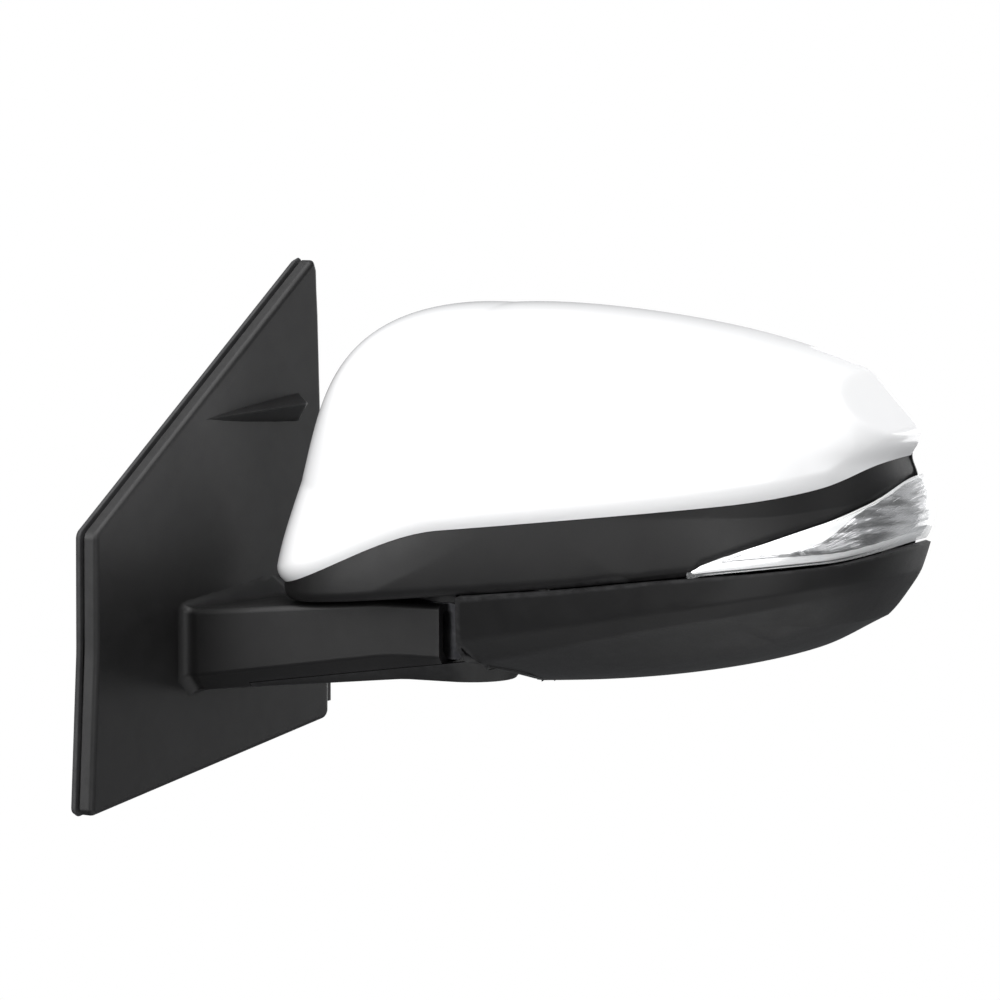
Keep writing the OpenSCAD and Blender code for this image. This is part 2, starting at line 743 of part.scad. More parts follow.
// A drive gear around a plunger, with the first tooth at the given angle
module drive_gear(place, angle) {
    translate([place[0], gear_y, place[1]]) rotate([-90, 0, 0]) difference() {
        union() {
            cylinder(r = gear_root_r, h = gear_h);
            for (i = [0:gear_teeth - 1]) rotate([0, 0, angle + 360 * i / gear_teeth])
                linear_extrude(gear_h) polygon([
                    [gear_root_r - 1, -0.75], [gear_r, -0.4], [gear_r, 0.4], [gear_root_r - 1, 0.75]
                ]);
        }
        translate([0, 0, -1]) cylinder(r = plunger_r + 0.05, h = gear_h + 2);
    }
}
module pan_gear() {
    color("ivory") in_head() drive_gear(pan_place, 180);
}
module tilt_gear() {
    color("ivory") in_head() drive_gear(tilt_place, -90 + 180 / gear_teeth);
}

module plunger(place) {
    rod_y(place, plunger_r, act_y0 + 7.2, pivot_depth - 2);
    translate([place[0], pivot_depth, place[1]]) sphere(r = ball_r, $fn = 32);
}
module pan_plunger() {
    color("ivory") in_head() plunger(pan_place);
}
module tilt_plunger() {
    color("ivory") in_head() plunger(tilt_place);
}

// A cross-jointed ring: upright pins turn in the cover's ears and level pins
// in the holder's ears
module gimbal_ring() {
    color("ivory") in_head() translate([act_c[0], pivot_depth, act_c[1]]) {
        difference() {
            rotate([90, 0, 0]) cylinder(r = 10.5, h = 3.2, center = true);
            rotate([90, 0, 0]) cylinder(r = 7.5, h = 5, center = true);
        }
        for (s = [0, 180]) rotate([0, s, 0]) {
            translate([0, 0, 10]) cylinder(r = 1.6, h = 5.4);
            rotate([0, 90, 0]) translate([0, 0, 10]) cylinder(r = 1.6, h = 5.4);
        }
    }
}

// The holder has cups for the plungers' ball ends, longer along the line to
// the pivot, ears for the ring's level pins and pockets over the cover's ears
module glass_holder() {
    cups = [[pan_place, [1, 0]], [tilt_place, [0, 1]]];
    color([0.15, 0.15, 0.15]) in_head() difference() {
        union() {
            along_y(holder_y, holder_y + holder_t) glass_outline(1.9);
            along_y(holder_y + holder_t - 0.1, glass_y + 1) difference() {
                glass_outline(1.9);
                glass_outline(0.3);
            }
            for (s = [-1, 1]) translate([act_c[0] + s * 14 - 1.5, pivot_depth - 2.4, act_c[1] - 3])
                cube([3, holder_y - pivot_depth + 3, 6]);
            for (c = cups) rod_y(c[0], ball_r + 3, pivot_depth - 2.5, holder_y + 0.2);
        }
        for (c = cups) hull() for (s = [-0.6, 0.6])
            rod_y(c[0] + s * c[1], ball_r + 0.9, 0, pivot_depth + ball_r + 0.4);
        for (s = [-1, 1]) translate([act_c[0] - 5, 0, act_c[1] + s * 14 - 4.5])
            cube([10, holder_y + holder_t - 0.5, 9]);
        translate([act_c[0] - 20, pivot_depth, act_c[1]]) rotate([0, 90, 0])
            cylinder(r = 1.65, h = 40);
    }
}

module heater_pad() {
    color([0.3, 0.3, 0.32]) in_head()
        along_y(holder_y + holder_t, glass_y) glass_outline(-2);
}

module mirror_glass() {
    color([0.75, 0.8, 0.85]) in_head() along_y(glass_y, glass_y + glass_t) glass_outline(0);
}

// ---- Assembly --------------------------------------------------------------
base_frame();
base_cover();
arm_lower_cover();
gasket();
mounting_studs();
cable_grommet();
arm_screws();
pivot_post();
detent_plate();
spring_retainer();
head_frame();
detent_balls();
fold_spring();
front_housing();
painted_cap();
lower_cover();
rear_bezel();
bezel_screws();
indicator_housing();
indicator_reflector();
indicator_lens();
led_board();
leds();
actuator_base();
actuator_cover();
actuator_screws();
pan_motor();
tilt_motor();
pan_worm();
tilt_worm();
pan_gear();
tilt_gear();
pan_plunger();
tilt_plunger();
gimbal_ring();
glass_holder();
heater_pad();
mirror_glass();
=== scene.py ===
"""Looks of the car side mirror: smooth shells, plastics, paint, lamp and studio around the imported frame."""
import math

import bmesh
import bpy
import numpy as np
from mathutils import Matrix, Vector


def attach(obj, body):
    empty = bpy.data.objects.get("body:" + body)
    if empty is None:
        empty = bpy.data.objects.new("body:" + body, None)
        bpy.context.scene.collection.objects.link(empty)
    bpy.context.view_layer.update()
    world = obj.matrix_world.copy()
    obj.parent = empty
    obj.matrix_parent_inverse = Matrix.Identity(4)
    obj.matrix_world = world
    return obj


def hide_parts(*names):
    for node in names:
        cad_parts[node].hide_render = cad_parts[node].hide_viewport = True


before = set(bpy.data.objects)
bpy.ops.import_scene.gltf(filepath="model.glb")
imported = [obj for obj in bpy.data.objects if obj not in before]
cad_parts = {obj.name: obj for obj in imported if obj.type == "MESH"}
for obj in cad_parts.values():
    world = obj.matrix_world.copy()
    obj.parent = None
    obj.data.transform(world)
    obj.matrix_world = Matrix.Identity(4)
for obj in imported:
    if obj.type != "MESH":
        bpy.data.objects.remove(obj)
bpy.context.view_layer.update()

SCENE = bpy.context.scene
MM = 0.001  # metres

# ---- Dimensions shared with the CAD model, in millimetres --------------------
PIVOT_X, PIVOT_Y = 118.0, 26.0
HEAD_SWEEP = math.radians(8)
BASE_DEPTH = 10.0
GASKET_T = 2.5
SEAT_Z = 4.7
ARM_END_R = 25.0
ARM_BOTTOM = -25.5
ARM_CHAMFER = 8.0
ARM_CHAMFER_H = 10.0
WALL = 2.6
SHROUD_R = 28.0
SHROUD_X = 17.2
RIM_Y = 40.0
DOME_DEPTH = 92.0
HEAD_END = 166.0
END_DRAW = 4.0
SKIRT_INSET = 2.8
PIVOT_HOLE_R = 20.6
DOME_CENTRE = (43.0, 40.0)
DOME_HALF = (110.0, 70.0)
FACET_NORMAL = np.array([0.735, -0.074, 0.674])
FACET_D = 165.8
WAIST, WAIST_X, WAIST_Z, WAIST_REACH = 2.6, 144.0, 62.0, 5.2
GLASS_CORNERS = [(-24, 88), (60, 89), (116, 77), (139, 52), (141, 34), (120, 8), (92, 8), (-26, 48)]
GLASS_R = 14.0
GLASS_GAP = 4.7
GLASS_EASE = 8.0
GLASS_Y = 37.0
GLASS_T = 2.2


# ---- Small helpers -----------------------------------------------------------
def clamp01(t):
    return np.clip(t, 0.0, 1.0)


def smooth(t):
    t = clamp01(t)
    return t * t * (3 - 2 * t)


def mix(p, q, t):
    return p + (q - p) * t


def soft_over(d, r):
    """max(0, d) with its corner rounded over the distance r."""
    return 0.5 * (d + np.sqrt(d * d + r * r))


def from_head(points):
    """Points of the head's own frame in the row frame, both in millimetres."""
    p = np.asarray(points, float)
    c, s = math.cos(HEAD_SWEEP), math.sin(HEAD_SWEEP)
    return np.stack([PIVOT_X + p[..., 0] * c - p[..., 1] * s,
                     PIVOT_Y + p[..., 0] * s + p[..., 1] * c, p[..., 2]], -1)


# ---- The head's outer surface, as in the CAD model ---------------------------
def rim_top(x):
    return 115.5 - 0.00095 * np.maximum(x, 0) ** 2 + 0.1 * np.maximum(-x, 0)


def rim_bottom(x):
    return -29.5 + 0.00079 * np.maximum(x + 10, 0) ** 2 + 0.38 * soft_over(x - 134, 8)


def rim_left(z):
    return -92.5 + 0.27 * z


def plan(a, b):
    """x and z of the place (a, b) of the dome, which runs from -1 to 1 across and up the head."""
    a, b = np.broadcast_arrays(np.asarray(a, float), np.asarray(b, float))
    m = np.maximum(np.abs(a), np.abs(b))
    p = 4 + 1.2 * clamp01(a) * clamp01(b)
    k = m / np.maximum((np.abs(a) ** p + np.abs(b) ** p) ** (1 / p), 1e-6)
    u, v = a * k, b * k
    x, z = np.full_like(u, DOME_CENTRE[0]), np.full_like(u, DOME_CENTRE[1])
    for _ in range(10):
        x = mix(rim_left(z), HEAD_END + END_DRAW, (u + 1) / 2)
        z = mix(rim_bottom(x), rim_top(x), (v + 1) / 2)
    return x, z


def dome(a, b, inset=0.0):
    """Points of the dome at the places (a, b), inset by the given distance."""
    px, pz = plan(a, b)
    m = np.maximum(np.abs(a), np.abs(b))
    h = np.sqrt(np.maximum(0, 1 - m ** (2.8 + 1.6 * clamp01(-np.asarray(b) / 0.55))))
    drawn = px - END_DRAW * clamp01((px - HEAD_END + 16) / (END_DRAW + 16)) ** 1.5
    x = DOME_CENTRE[0] + (drawn - DOME_CENTRE[0]) * (1 - inset / DOME_HALF[0])
    z = DOME_CENTRE[1] + (pz - DOME_CENTRE[1]) * (1 - inset / DOME_HALF[1])
    y = RIM_Y - (DOME_DEPTH - inset) * h
    x = x - WAIST * clamp01((x - WAIST_X) / 20) * np.exp(-((z - WAIST_Z) / WAIST_REACH) ** 2)
    n = FACET_NORMAL
    over = soft_over(n[0] * x + n[1] * y + n[2] * z - (FACET_D - inset), 0.5)
    push = over / (n[0] ** 2 + n[2] ** 2)
    return np.stack([x - n[0] * push, y, z - n[2] * push], -1)


def cap_edge_z(x):
    """Height of the painted cap's lower edge."""
    return 35.6 + 0.115 * x - 17 * smooth((10 - x) / 85) + 10 * clamp01((x - 110) / 62) ** 3


def seam_z(x):
    """Height of the seam between the skirt and the lower cover."""
    return 10 + 0.107 * x + 1.1 * smooth((x - 50) / 60) + 4 * clamp01((x - 150) / 22) ** 2


def lens_top_z(x):
    return seam_z(x) + 1.6 + 0.3 * np.maximum(0, x - 112) + 3 * clamp01((x - 162) / 8) ** 2


def skirt_edge_z(x):
    return np.where(x > 112, lens_top_z(x) + 0.6, seam_z(x))


def proud(a):
    """Inset of the lower cover and the lamp, negative where they stand out past the skirt."""
    return -3.2 * clamp01((a - 0.3) / 0.7) ** 2 - 2 * clamp01((a - 0.75) / 0.25) ** 2


def b_on(a, line):
    """b of the place where the line z of x crosses each a."""
    a = np.asarray(a, float)
    low, high = np.full_like(a, -1.0), np.full_like(a, 1.0)
    for _ in range(22):
        mid = (low + high) / 2
        x, z = plan(a, mid)
        above = z > line(x)
        low, high = np.where(above, low, mid), np.where(above, mid, high)
    return (low + high) / 2


def a_at_x(x0, b=-0.4):
    """a of the place with the given x on the line b."""
    low, high = -1.0, 1.0
    for _ in range(30):
        mid = (low + high) / 2
        if float(plan(mid, b)[0]) > x0:
            high = mid
        else:
            low = mid
    return (low + high) / 2


def spread(a0, a1, n):
    """n + 1 places from a0 to a1, closer together towards the ends of the head."""
    return np.sin(np.linspace(math.asin(a0), math.asin(a1), n + 1))


def b_columns(lows, highs, n):
    """n + 1 places between the lists lows and highs, one row for each pair."""
    t0, t1 = np.arcsin(np.clip(lows, -1, 1)), np.arcsin(np.clip(highs, -1, 1))
    return np.sin(mix(t0[:, None], t1[:, None], np.linspace(0, 1, n + 1)[None, :]))


def dome_grid(a, lows, highs, n):
    """a, b, x and z of a grid with n + 1 places between lows and highs at each a."""
    b = b_columns(lows, highs, n)
    a2 = np.repeat(a[:, None], n + 1, 1)
    return (a2, b, *plan(a2, b))


# ---- Making objects ----------------------------------------------------------
def mesh_object(name, verts, faces):
    """An object from points in millimetres of the row frame."""
    mesh = bpy.data.meshes.new(name)
    mesh.from_pydata([tuple(v) for v in np.asarray(verts, float) * MM], [], faces)
    obj = bpy.data.objects.new(name, mesh)
    SCENE.collection.objects.link(obj)
    return obj


def new_piece(name, verts, faces, body, slot, **finish):
    """A mesh piece riding on a body."""
    obj = mesh_object(name, verts, faces)
    finish_piece(obj, body, slot, **finish)
    return obj


def head_piece(name, grids, slot, sharp=50, **finish):
    """A piece of the head from grids in its own frame, each with whether its quads are turned over."""
    verts, faces = join_grids(grids)
    return new_piece(name, from_head(verts), faces, "head", slot, sharp=sharp, **finish)


def finish_piece(obj, body, slot, look=None, bevel=0.0, solid=0.0, sharp=40.0):
    """Shading, thickness, rounded edges and material; look is the material where it isn't the slot's."""
    bm = bmesh.new()
    bm.from_mesh(obj.data)
    bmesh.ops.remove_doubles(bm, verts=bm.verts, dist=2e-6)
    bmesh.ops.dissolve_degenerate(bm, edges=bm.edges, dist=1e-6)
    if solid == 0:
        bmesh.ops.recalc_face_normals(bm, faces=bm.faces)
    for f in bm.faces:
        f.smooth = True
    limit = math.radians(sharp)
    if not bevel:
        for e in bm.edges:
            if len(e.link_faces) == 2 and e.calc_face_angle(0) > limit:
                e.smooth = False
    bm.to_mesh(obj.data)
    bm.free()
    if solid:
        mod = obj.modifiers.new("thickness", "SOLIDIFY")
        mod.thickness = solid * MM
        mod.offset = -1
        mod.use_even_offset = False
    if bevel:
        mod = obj.modifiers.new("edges", "BEVEL")
        mod.width = bevel * MM
        mod.segments = 3
        mod.limit_method = "ANGLE"
        mod.angle_limit = limit
        mod.use_clamp_overlap = True
    mod = obj.modifiers.new("normals", "WEIGHTED_NORMAL")
    mod.keep_sharp = True
    obj.data.materials.clear()
    obj.data.materials.append(MAT[look or slot])
    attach(obj, body)


def grid_faces(rows, cols, start=0, flip=False, closed=False):
    """Quads of a grid of points, which may close on itself across its columns."""
    faces = []
    for i in range(rows - 1):
        for j in range(cols if closed else cols - 1):
            k = (j + 1) % cols
            quad = (start + i * cols + j, start + i * cols + k,
                    start + (i + 1) * cols + k, start + (i + 1) * cols + j)
            faces.append(quad[::-1] if flip else quad)
    return faces


def capped_faces(rings, n):
    """Faces of a solid through closed rings of n points, with both ends filled."""
    return grid_faces(rings, n, closed=True) + [tuple(range(n)), tuple(range((rings - 1) * n, rings * n))[::-1]]


def looped_faces(rings, n):
    """Faces of a ring-shaped solid through closed rings of n points, the last joined to the first."""
    last = (rings - 1) * n
    return grid_faces(rings, n, closed=True) + [(last + k, last + (k + 1) % n, (k + 1) % n, k) for k in range(n)]


def prism_faces(n):
    """Faces of a prism whose n corners of one end come before those of the other."""
    sides = [(i, (i + 1) % n, n + (i + 1) % n, n + i) for i in range(n)]
    return sides + [tuple(range(n))[::-1], tuple(range(n, 2 * n))]


def join_grids(grids):
    """Points and quads of several grids as one mesh."""
    verts, faces = [], []
    for points, flip in grids:
        rows, cols = points.shape[:2]
        faces += grid_faces(rows, cols, len(verts), flip)
        verts += list(points.reshape(-1, 3))
    return np.array(verts), faces


def apply_modifiers(obj):
    """Replaces the object's mesh by what its modifiers make of it."""
    dg = bpy.context.evaluated_depsgraph_get()
    made = bpy.data.meshes.new_from_object(obj.evaluated_get(dg))
    obj.modifiers.clear()
    old = obj.data
    obj.data = made
    bpy.data.meshes.remove(old)


def clean_mesh(mesh, merge, close=False):
    """Merges points nearer than merge, fills open ends where asked and turns all faces outward."""
    bm = bmesh.new()
    bm.from_mesh(mesh)
    bmesh.ops.remove_doubles(bm, verts=bm.verts, dist=merge)
    if close:
        bmesh.ops.dissolve_degenerate(bm, edges=bm.edges, dist=1e-6)
        open_edges = [e for e in bm.edges if len(e.link_faces) == 1]
        bmesh.ops.holes_fill(bm, edges=open_edges, sides=0)
    bmesh.ops.recalc_face_normals(bm, faces=bm.faces)
    if bm.calc_volume(signed=True) < 0:
        bmesh.ops.reverse_faces(bm, faces=bm.faces)
    bm.to_mesh(mesh)
    bm.free()


def tool_object(name, verts, faces):
    """A closed mesh to cut or join with."""
    obj = mesh_object(name, verts, faces)
    clean_mesh(obj.data, 1e-6)
    return obj


def closed_tool(name, verts, faces):
    """A tool from a mesh whose end is still open."""
    obj = tool_object(name, verts, faces)
    clean_mesh(obj.data, 2e-5, close=True)
    return obj


def cylinder_points(x, y, r, z0, z1, seg=72):
    t = np.linspace(0, 2 * np.pi, seg, endpoint=False)
    ring = np.stack([x + r * np.cos(t), y + r * np.sin(t)], -1)
    return np.concatenate([np.c_[ring, np.full(seg, z0)], np.c_[ring, np.full(seg, z1)]])


def combine(obj, other, operation):
    """Applies a boolean of another object and removes that object."""
    mod = obj.modifiers.new("cut", "BOOLEAN")
    mod.operation = operation
    mod.solver = "EXACT"
    mod.object = other
    apply_modifiers(obj)
    bpy.data.objects.remove(other)


def cut_finished(obj, tool):
    """Cuts a finished piece, with its thickness made solid first."""
    mods = [(m.type, m) for m in obj.modifiers]
    bevel = [(m.width, m.segments, m.angle_limit) for kind, m in mods if kind == "BEVEL"]
    for kind, m in mods:
        if kind != "SOLIDIFY":
            obj.modifiers.remove(m)
    combine(obj, tool, "DIFFERENCE")
    for width, segments, angle in bevel:
        m = obj.modifiers.new("edges", "BEVEL")
        m.width, m.segments, m.angle_limit, m.limit_method = width, segments, angle, "ANGLE"
    m = obj.modifiers.new("normals", "WEIGHTED_NORMAL")
    m.keep_sharp = True


# ---- Materials ---------------------------------------------------------------
class Shader:
    """A small builder for a Principled material whose colour, gloss and grain come from nodes."""

    def __init__(self, name):
        self.material = bpy.data.materials.new(name)
        self.material.use_nodes = True
        self.tree = self.material.node_tree
        self.bsdf = self.tree.nodes["Principled BSDF"]
        self.coords = self.node("ShaderNodeTexCoord").outputs["Object"]

    def node(self, kind, settings=None, **sockets):
        made = self.tree.nodes.new(kind)
        for key, value in (settings or {}).items():
            setattr(made, key, value)
        for key, value in sockets.items():
            self.feed(made.inputs[key.replace("_", " ")], value)
        return made

    def feed(self, socket, value):
        if isinstance(value, bpy.types.NodeSocket):
            self.tree.links.new(value, socket)
        else:
            socket.default_value = value

    def fixed(self, **values):
        """Constants, set on the shader's own sockets."""
        for key, value in values.items():
            self.bsdf.inputs[key.replace("_", " ")].default_value = value
        return self

    def noise(self, scale, detail=3.0, rough=0.55, stretch=None):
        vector = self.coords
        if stretch:
            vector = self.node("ShaderNodeMapping", Vector=self.coords, Scale=stretch).outputs["Vector"]
        return self.node("ShaderNodeTexNoise", Vector=vector, Scale=scale, Detail=detail,
                         Roughness=rough).outputs["Fac"]

    def cells(self, scale):
        return self.node("ShaderNodeTexVoronoi", Vector=self.coords, Scale=scale).outputs["Distance"]

    def spread(self, value, low, high, start=0.3, end=0.7):
        """Maps start..end of a value to low..high."""
        node = self.node("ShaderNodeMapRange", Value=value)
        for i, number in enumerate((start, end, low, high), 1):
            node.inputs[i].default_value = number
        return node.outputs["Result"]

    def blend(self, factor, one, other):
        node = self.node("ShaderNodeMix", {"data_type": "RGBA"})
        self.feed(node.inputs[0], factor)
        for socket, value in ((node.inputs[6], one), (node.inputs[7], other)):
            self.feed(socket, (*value, 1.0) if isinstance(value, tuple) else value)
        return node.outputs[2]

    def patches(self, noise, one, other):
        """A colour that wanders between two over a noise."""
        return self.blend(self.spread(noise, 0.0, 1.0), one, other)

    def worn_edges(self):
        """1 on the exposed edges and 0 elsewhere, broken up by noise."""
        point = self.node("ShaderNodeNewGeometry").outputs["Pointiness"]
        edge = self.spread(point, 0.0, 1.0, 0.52, 0.62)
        broken = self.spread(self.noise(260.0), 0.2, 1.0, 0.35, 0.65)
        return self.times(edge, broken)

    def maths(self, operation, one, other):
        node = self.node("ShaderNodeMath", {"operation": operation})
        self.feed(node.inputs[0], one)
        self.feed(node.inputs[1], other)
        return node.outputs[0]

    def times(self, one, other):
        return self.maths("MULTIPLY", one, other)

    def colour(self, value):
        self.feed(self.bsdf.inputs["Base Color"], value)
        return self

    def rough(self, value):
        self.feed(self.bsdf.inputs["Roughness"], value)
        return self

    def bump(self, *layers):
        """Stacks bumps, each a (height, strength, depth in millimetres)."""
        normal = None
        for height, strength, depth in layers:
            node = self.node("ShaderNodeBump", Height=height, Strength=strength, Distance=depth * MM)
            if normal is not None:
                self.tree.links.new(normal, node.inputs["Normal"])
            normal = node.outputs["Normal"]
        self.tree.links.new(normal, self.bsdf.inputs["Normal"])
        return self


def grained_plastic(name, dark, pale, rough_low, rough_high, grain=0.35):
    s = Shader(name)
    base = s.patches(s.noise(38.0, 4.0), dark, pale)
    s.colour(s.blend(s.times(s.worn_edges(), 0.35), base, (0.06, 0.06, 0.062)))
    broad, fine = s.noise(90.0, 3.0), s.noise(1900.0, 2.0)
    s.rough(s.maths("ADD", s.spread(broad, rough_low, rough_high), s.spread(fine, -0.03, 0.05)))
    s.bump((s.cells(2100.0), grain, 0.030), (s.noise(5200.0, 2.0), grain * 0.6, 0.012),
           (s.noise(24.0, 2.0), 0.05, 0.25))
    s.fixed(IOR=1.5, Specular_IOR_Level=0.36)
    return s.material


def surface(name, tint, one, other, gloss, rough, *bumps, **fixed):
    """A shader whose colour and gloss wander over noises; each bump is a noise, a strength and a depth."""
    s = Shader(name)
    s.colour(s.patches(s.noise(*tint), one, other))
    s.rough(s.spread(s.noise(*gloss), *rough))
    if bumps:
        s.bump(*[(s.noise(*noise), strength, depth) for noise, strength, depth in bumps])
    return s.fixed(**fixed)


def metal(name, one, other, rough, scale, bump=0.2, stretch=None):
    grain = (3.0, 0.6, stretch)
    return surface(name, (scale, 4.0, 0.6, stretch), one, other, (scale * 2.3, *grain), rough,
                   ((scale * 9, *grain), bump, 0.05), Metallic=1.0).material


def lens_material():
    s = surface("clear lens", (40.0,), (0.96, 0.975, 0.985), (0.985, 0.99, 0.995), (200.0,), (0.015, 0.03),
                ((120.0, 1.0), 0.03, 0.02), IOR=1.49, Specular_IOR_Level=0.8)
    facing = s.node("ShaderNodeLayerWeight", Blend=0.35).outputs["Facing"]
    s.feed(s.bsdf.inputs["Alpha"], s.spread(facing, 0.06, 0.58))
    return s.material


def light_guide_material():
    s = Shader("light guide")
    # Painted light: the pale streaks running along the flutes are painted glints, laid over a near-black ground.
    painted_glint_streaks = s.noise(420.0, 3.0, 0.5, (0.12, 0.12, 1.0))
    s.colour(s.blend(s.spread(painted_glint_streaks, 0.0, 1.0, 0.42, 0.58), (0.03, 0.03, 0.032), (0.60, 0.60, 0.61)))
    s.rough(s.spread(s.noise(150.0), 0.06, 0.14))
    s.bump((s.noise(600.0), 0.05, 0.01))
    s.fixed(Metallic=0.7, Coat_Weight=1.0, Coat_Roughness=0.02)
    return s.material


def board_material():
    s = Shader("circuit board")
    tracks = s.node("ShaderNodeTexBrick", Vector=s.coords, Scale=260.0, Mortar_Size=0.03).outputs["Fac"]
    s.colour(s.blend(tracks, (0.012, 0.075, 0.03), (0.03, 0.16, 0.07)))
    s.rough(s.spread(s.noise(300.0), 0.25, 0.4))
    s.bump((tracks, 0.3, 0.03))
    return s.material


def led_material():
    s = Shader("led body")
    s.colour(s.blend(s.spread(s.cells(420.0), 0.0, 1.0, 0.1, 0.5), (0.80, 0.62, 0.16), (0.86, 0.84, 0.76)))
    s.rough(s.spread(s.noise(400.0), 0.25, 0.45))
    s.fixed(Coat_Weight=0.4)
    return s.material


def heater_material():
    s = Shader("heater foil")
    wave = s.node("ShaderNodeTexWave", {"bands_direction": "Z"}, Vector=s.coords,
                  Scale=70.0, Distortion=1.5, Detail=0.0).outputs["Fac"]
    s.colour(s.blend(s.spread(wave, 0.0, 1.0, 0.45, 0.55), (0.05, 0.05, 0.055), (0.25, 0.25, 0.26)))
    s.rough(s.spread(s.noise(120.0), 0.3, 0.5))
    s.bump((wave, 0.2, 0.03))
    return s.material


def rubber_material():
    s = Shader("rubber")
    base = s.patches(s.noise(30.0, 4.0), (0.012, 0.012, 0.013), (0.022, 0.022, 0.023))
    s.colour(s.blend(s.times(s.worn_edges(), 0.4), base, (0.07, 0.07, 0.07)))
    s.rough(s.spread(s.noise(150.0), 0.62, 0.8))
    s.bump((s.noise(1500.0, 3.0), 0.3, 0.03))
    return s.material


MAT = {
    "white_paint": surface("gloss white paint", (14.0, 2.0), (0.845, 0.843, 0.85), (0.86, 0.86, 0.862),
                           (60.0, 2.0), (0.30, 0.36), ((420.0, 1.5, 0.4), 0.05, 0.012),
                           ((3000.0, 1.0), 0.02, 0.002), Coat_Weight=0.8, Coat_Roughness=0.06,
                           Coat_IOR=1.45, IOR=1.45).material,
    "black_plastic": grained_plastic("grained black plastic", (0.0045, 0.0043, 0.0045),
                                     (0.0068, 0.0065, 0.0067), 0.42, 0.50),
    "dark_plastic": grained_plastic("dark plastic", (0.018, 0.018, 0.019), (0.028, 0.028, 0.029), 0.38, 0.5, 0.2),
    "zinc_steel": metal("zinc plated steel", (0.62, 0.60, 0.52), (0.72, 0.72, 0.70), (0.22, 0.36), 90.0),
    "spring_steel": metal("spring steel", (0.30, 0.30, 0.31), (0.42, 0.42, 0.43), (0.28, 0.4), 200.0),
    "black_screw": metal("black steel", (0.05, 0.05, 0.055), (0.09, 0.09, 0.095), (0.3, 0.45), 220.0),
    "motor_can": metal("motor steel", (0.55, 0.56, 0.57), (0.68, 0.69, 0.70), (0.2, 0.32), 260.0,
                       0.15, (1, 1, 0.15)),
    "reflector": surface("bright reflector", (60.0,), (0.92, 0.922, 0.925), (0.95, 0.95, 0.952),
                         (120.0,), (0.16, 0.24), ((500.0,), 0.03, 0.01),
                         Metallic=0.2, Coat_Weight=0.8, Coat_Roughness=0.03).material,
    "light_guide": light_guide_material(),
    "clear_lens": lens_material(),
    "mirror": surface("mirror glass", (9.0, 2.0), (0.74, 0.775, 0.79), (0.78, 0.81, 0.825),
                      (70.0, 4.0), (0.008, 0.022, 0.45, 0.8),
                      Metallic=1.0, Coat_Weight=0.35, Coat_Roughness=0.01).material,
    "circuit_board": board_material(),
    "led_body": led_material(),
    "heater_foil": heater_material(),
    "rubber": rubber_material(),
    "natural_plastic": surface("natural plastic", (45.0,), (0.76, 0.73, 0.64), (0.83, 0.81, 0.74),
                               (200.0,), (0.32, 0.45), ((700.0,), 0.1, 0.02),
                               Subsurface_Weight=0.15, Subsurface_Scale=0.0015).material,
}

CAD_LOOKS = {
    "black_screw": "base_frame arm_screws detent_plate bezel_screws actuator_screws",
    "zinc_steel": "mounting_studs pivot_post spring_retainer",
    "spring_steel": "detent_balls fold_spring",
    "dark_plastic": "head_frame indicator_housing actuator_base actuator_cover glass_holder",
    "natural_plastic": "pan_worm tilt_worm pan_gear tilt_gear pan_plunger tilt_plunger gimbal_ring",
    "motor_can": "pan_motor tilt_motor",
    "rubber": "cable_grommet",
    "circuit_board": "led_board",
    "led_body": "leds",
    "heater_foil": "heater_pad",
}
for look_name, nodes in CAD_LOOKS.items():
    for node in nodes.split():
        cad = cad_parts[node]
        if not cad.material_slots:
            cad.data.materials.append(MAT[look_name])
        for material_slot in cad.material_slots:
            material_slot.material = MAT[look_name]


# ---- Camera and light --------------------------------------------------------
VIEW_AZIMUTH, VIEW_ELEVATION = math.radians(33), math.radians(5)
VIEW_DISTANCE = 1.6
VIEW_TARGET = Vector((0.120, 0.0427, 0.0414))
LIGHT_TARGET = Vector((0.12, 0.03, 0.02))
LENS_MM = 149.6
BACK = Vector((math.sin(VIEW_AZIMUTH) * math.cos(VIEW_ELEVATION),
               -math.cos(VIEW_AZIMUTH) * math.cos(VIEW_ELEVATION), math.sin(VIEW_ELEVATION)))


def add_camera():
    data = bpy.data.cameras.new("camera")
    data.lens = LENS_MM
    data.sensor_width = 36.0
    data.clip_end = 50.0
    cam = bpy.data.objects.new("camera", data)
    cam.location = VIEW_TARGET + BACK * VIEW_DISTANCE
    cam.rotation_euler = (-BACK).to_track_quat("-Z", "Y").to_euler()
    SCENE.collection.objects.link(cam)
    SCENE.camera = cam


def add_softbox(name, place, size, power):
    data = bpy.data.lights.new(name, "AREA")
    data.shape = "RECTANGLE"
    data.size, data.size_y = size
    data.energy = power
    obj = bpy.data.objects.new(name, data)
    obj.location = place
    obj.rotation_euler = (LIGHT_TARGET - Vector(place)).to_track_quat("-Z", "Y").to_euler()
    SCENE.collection.objects.link(obj)


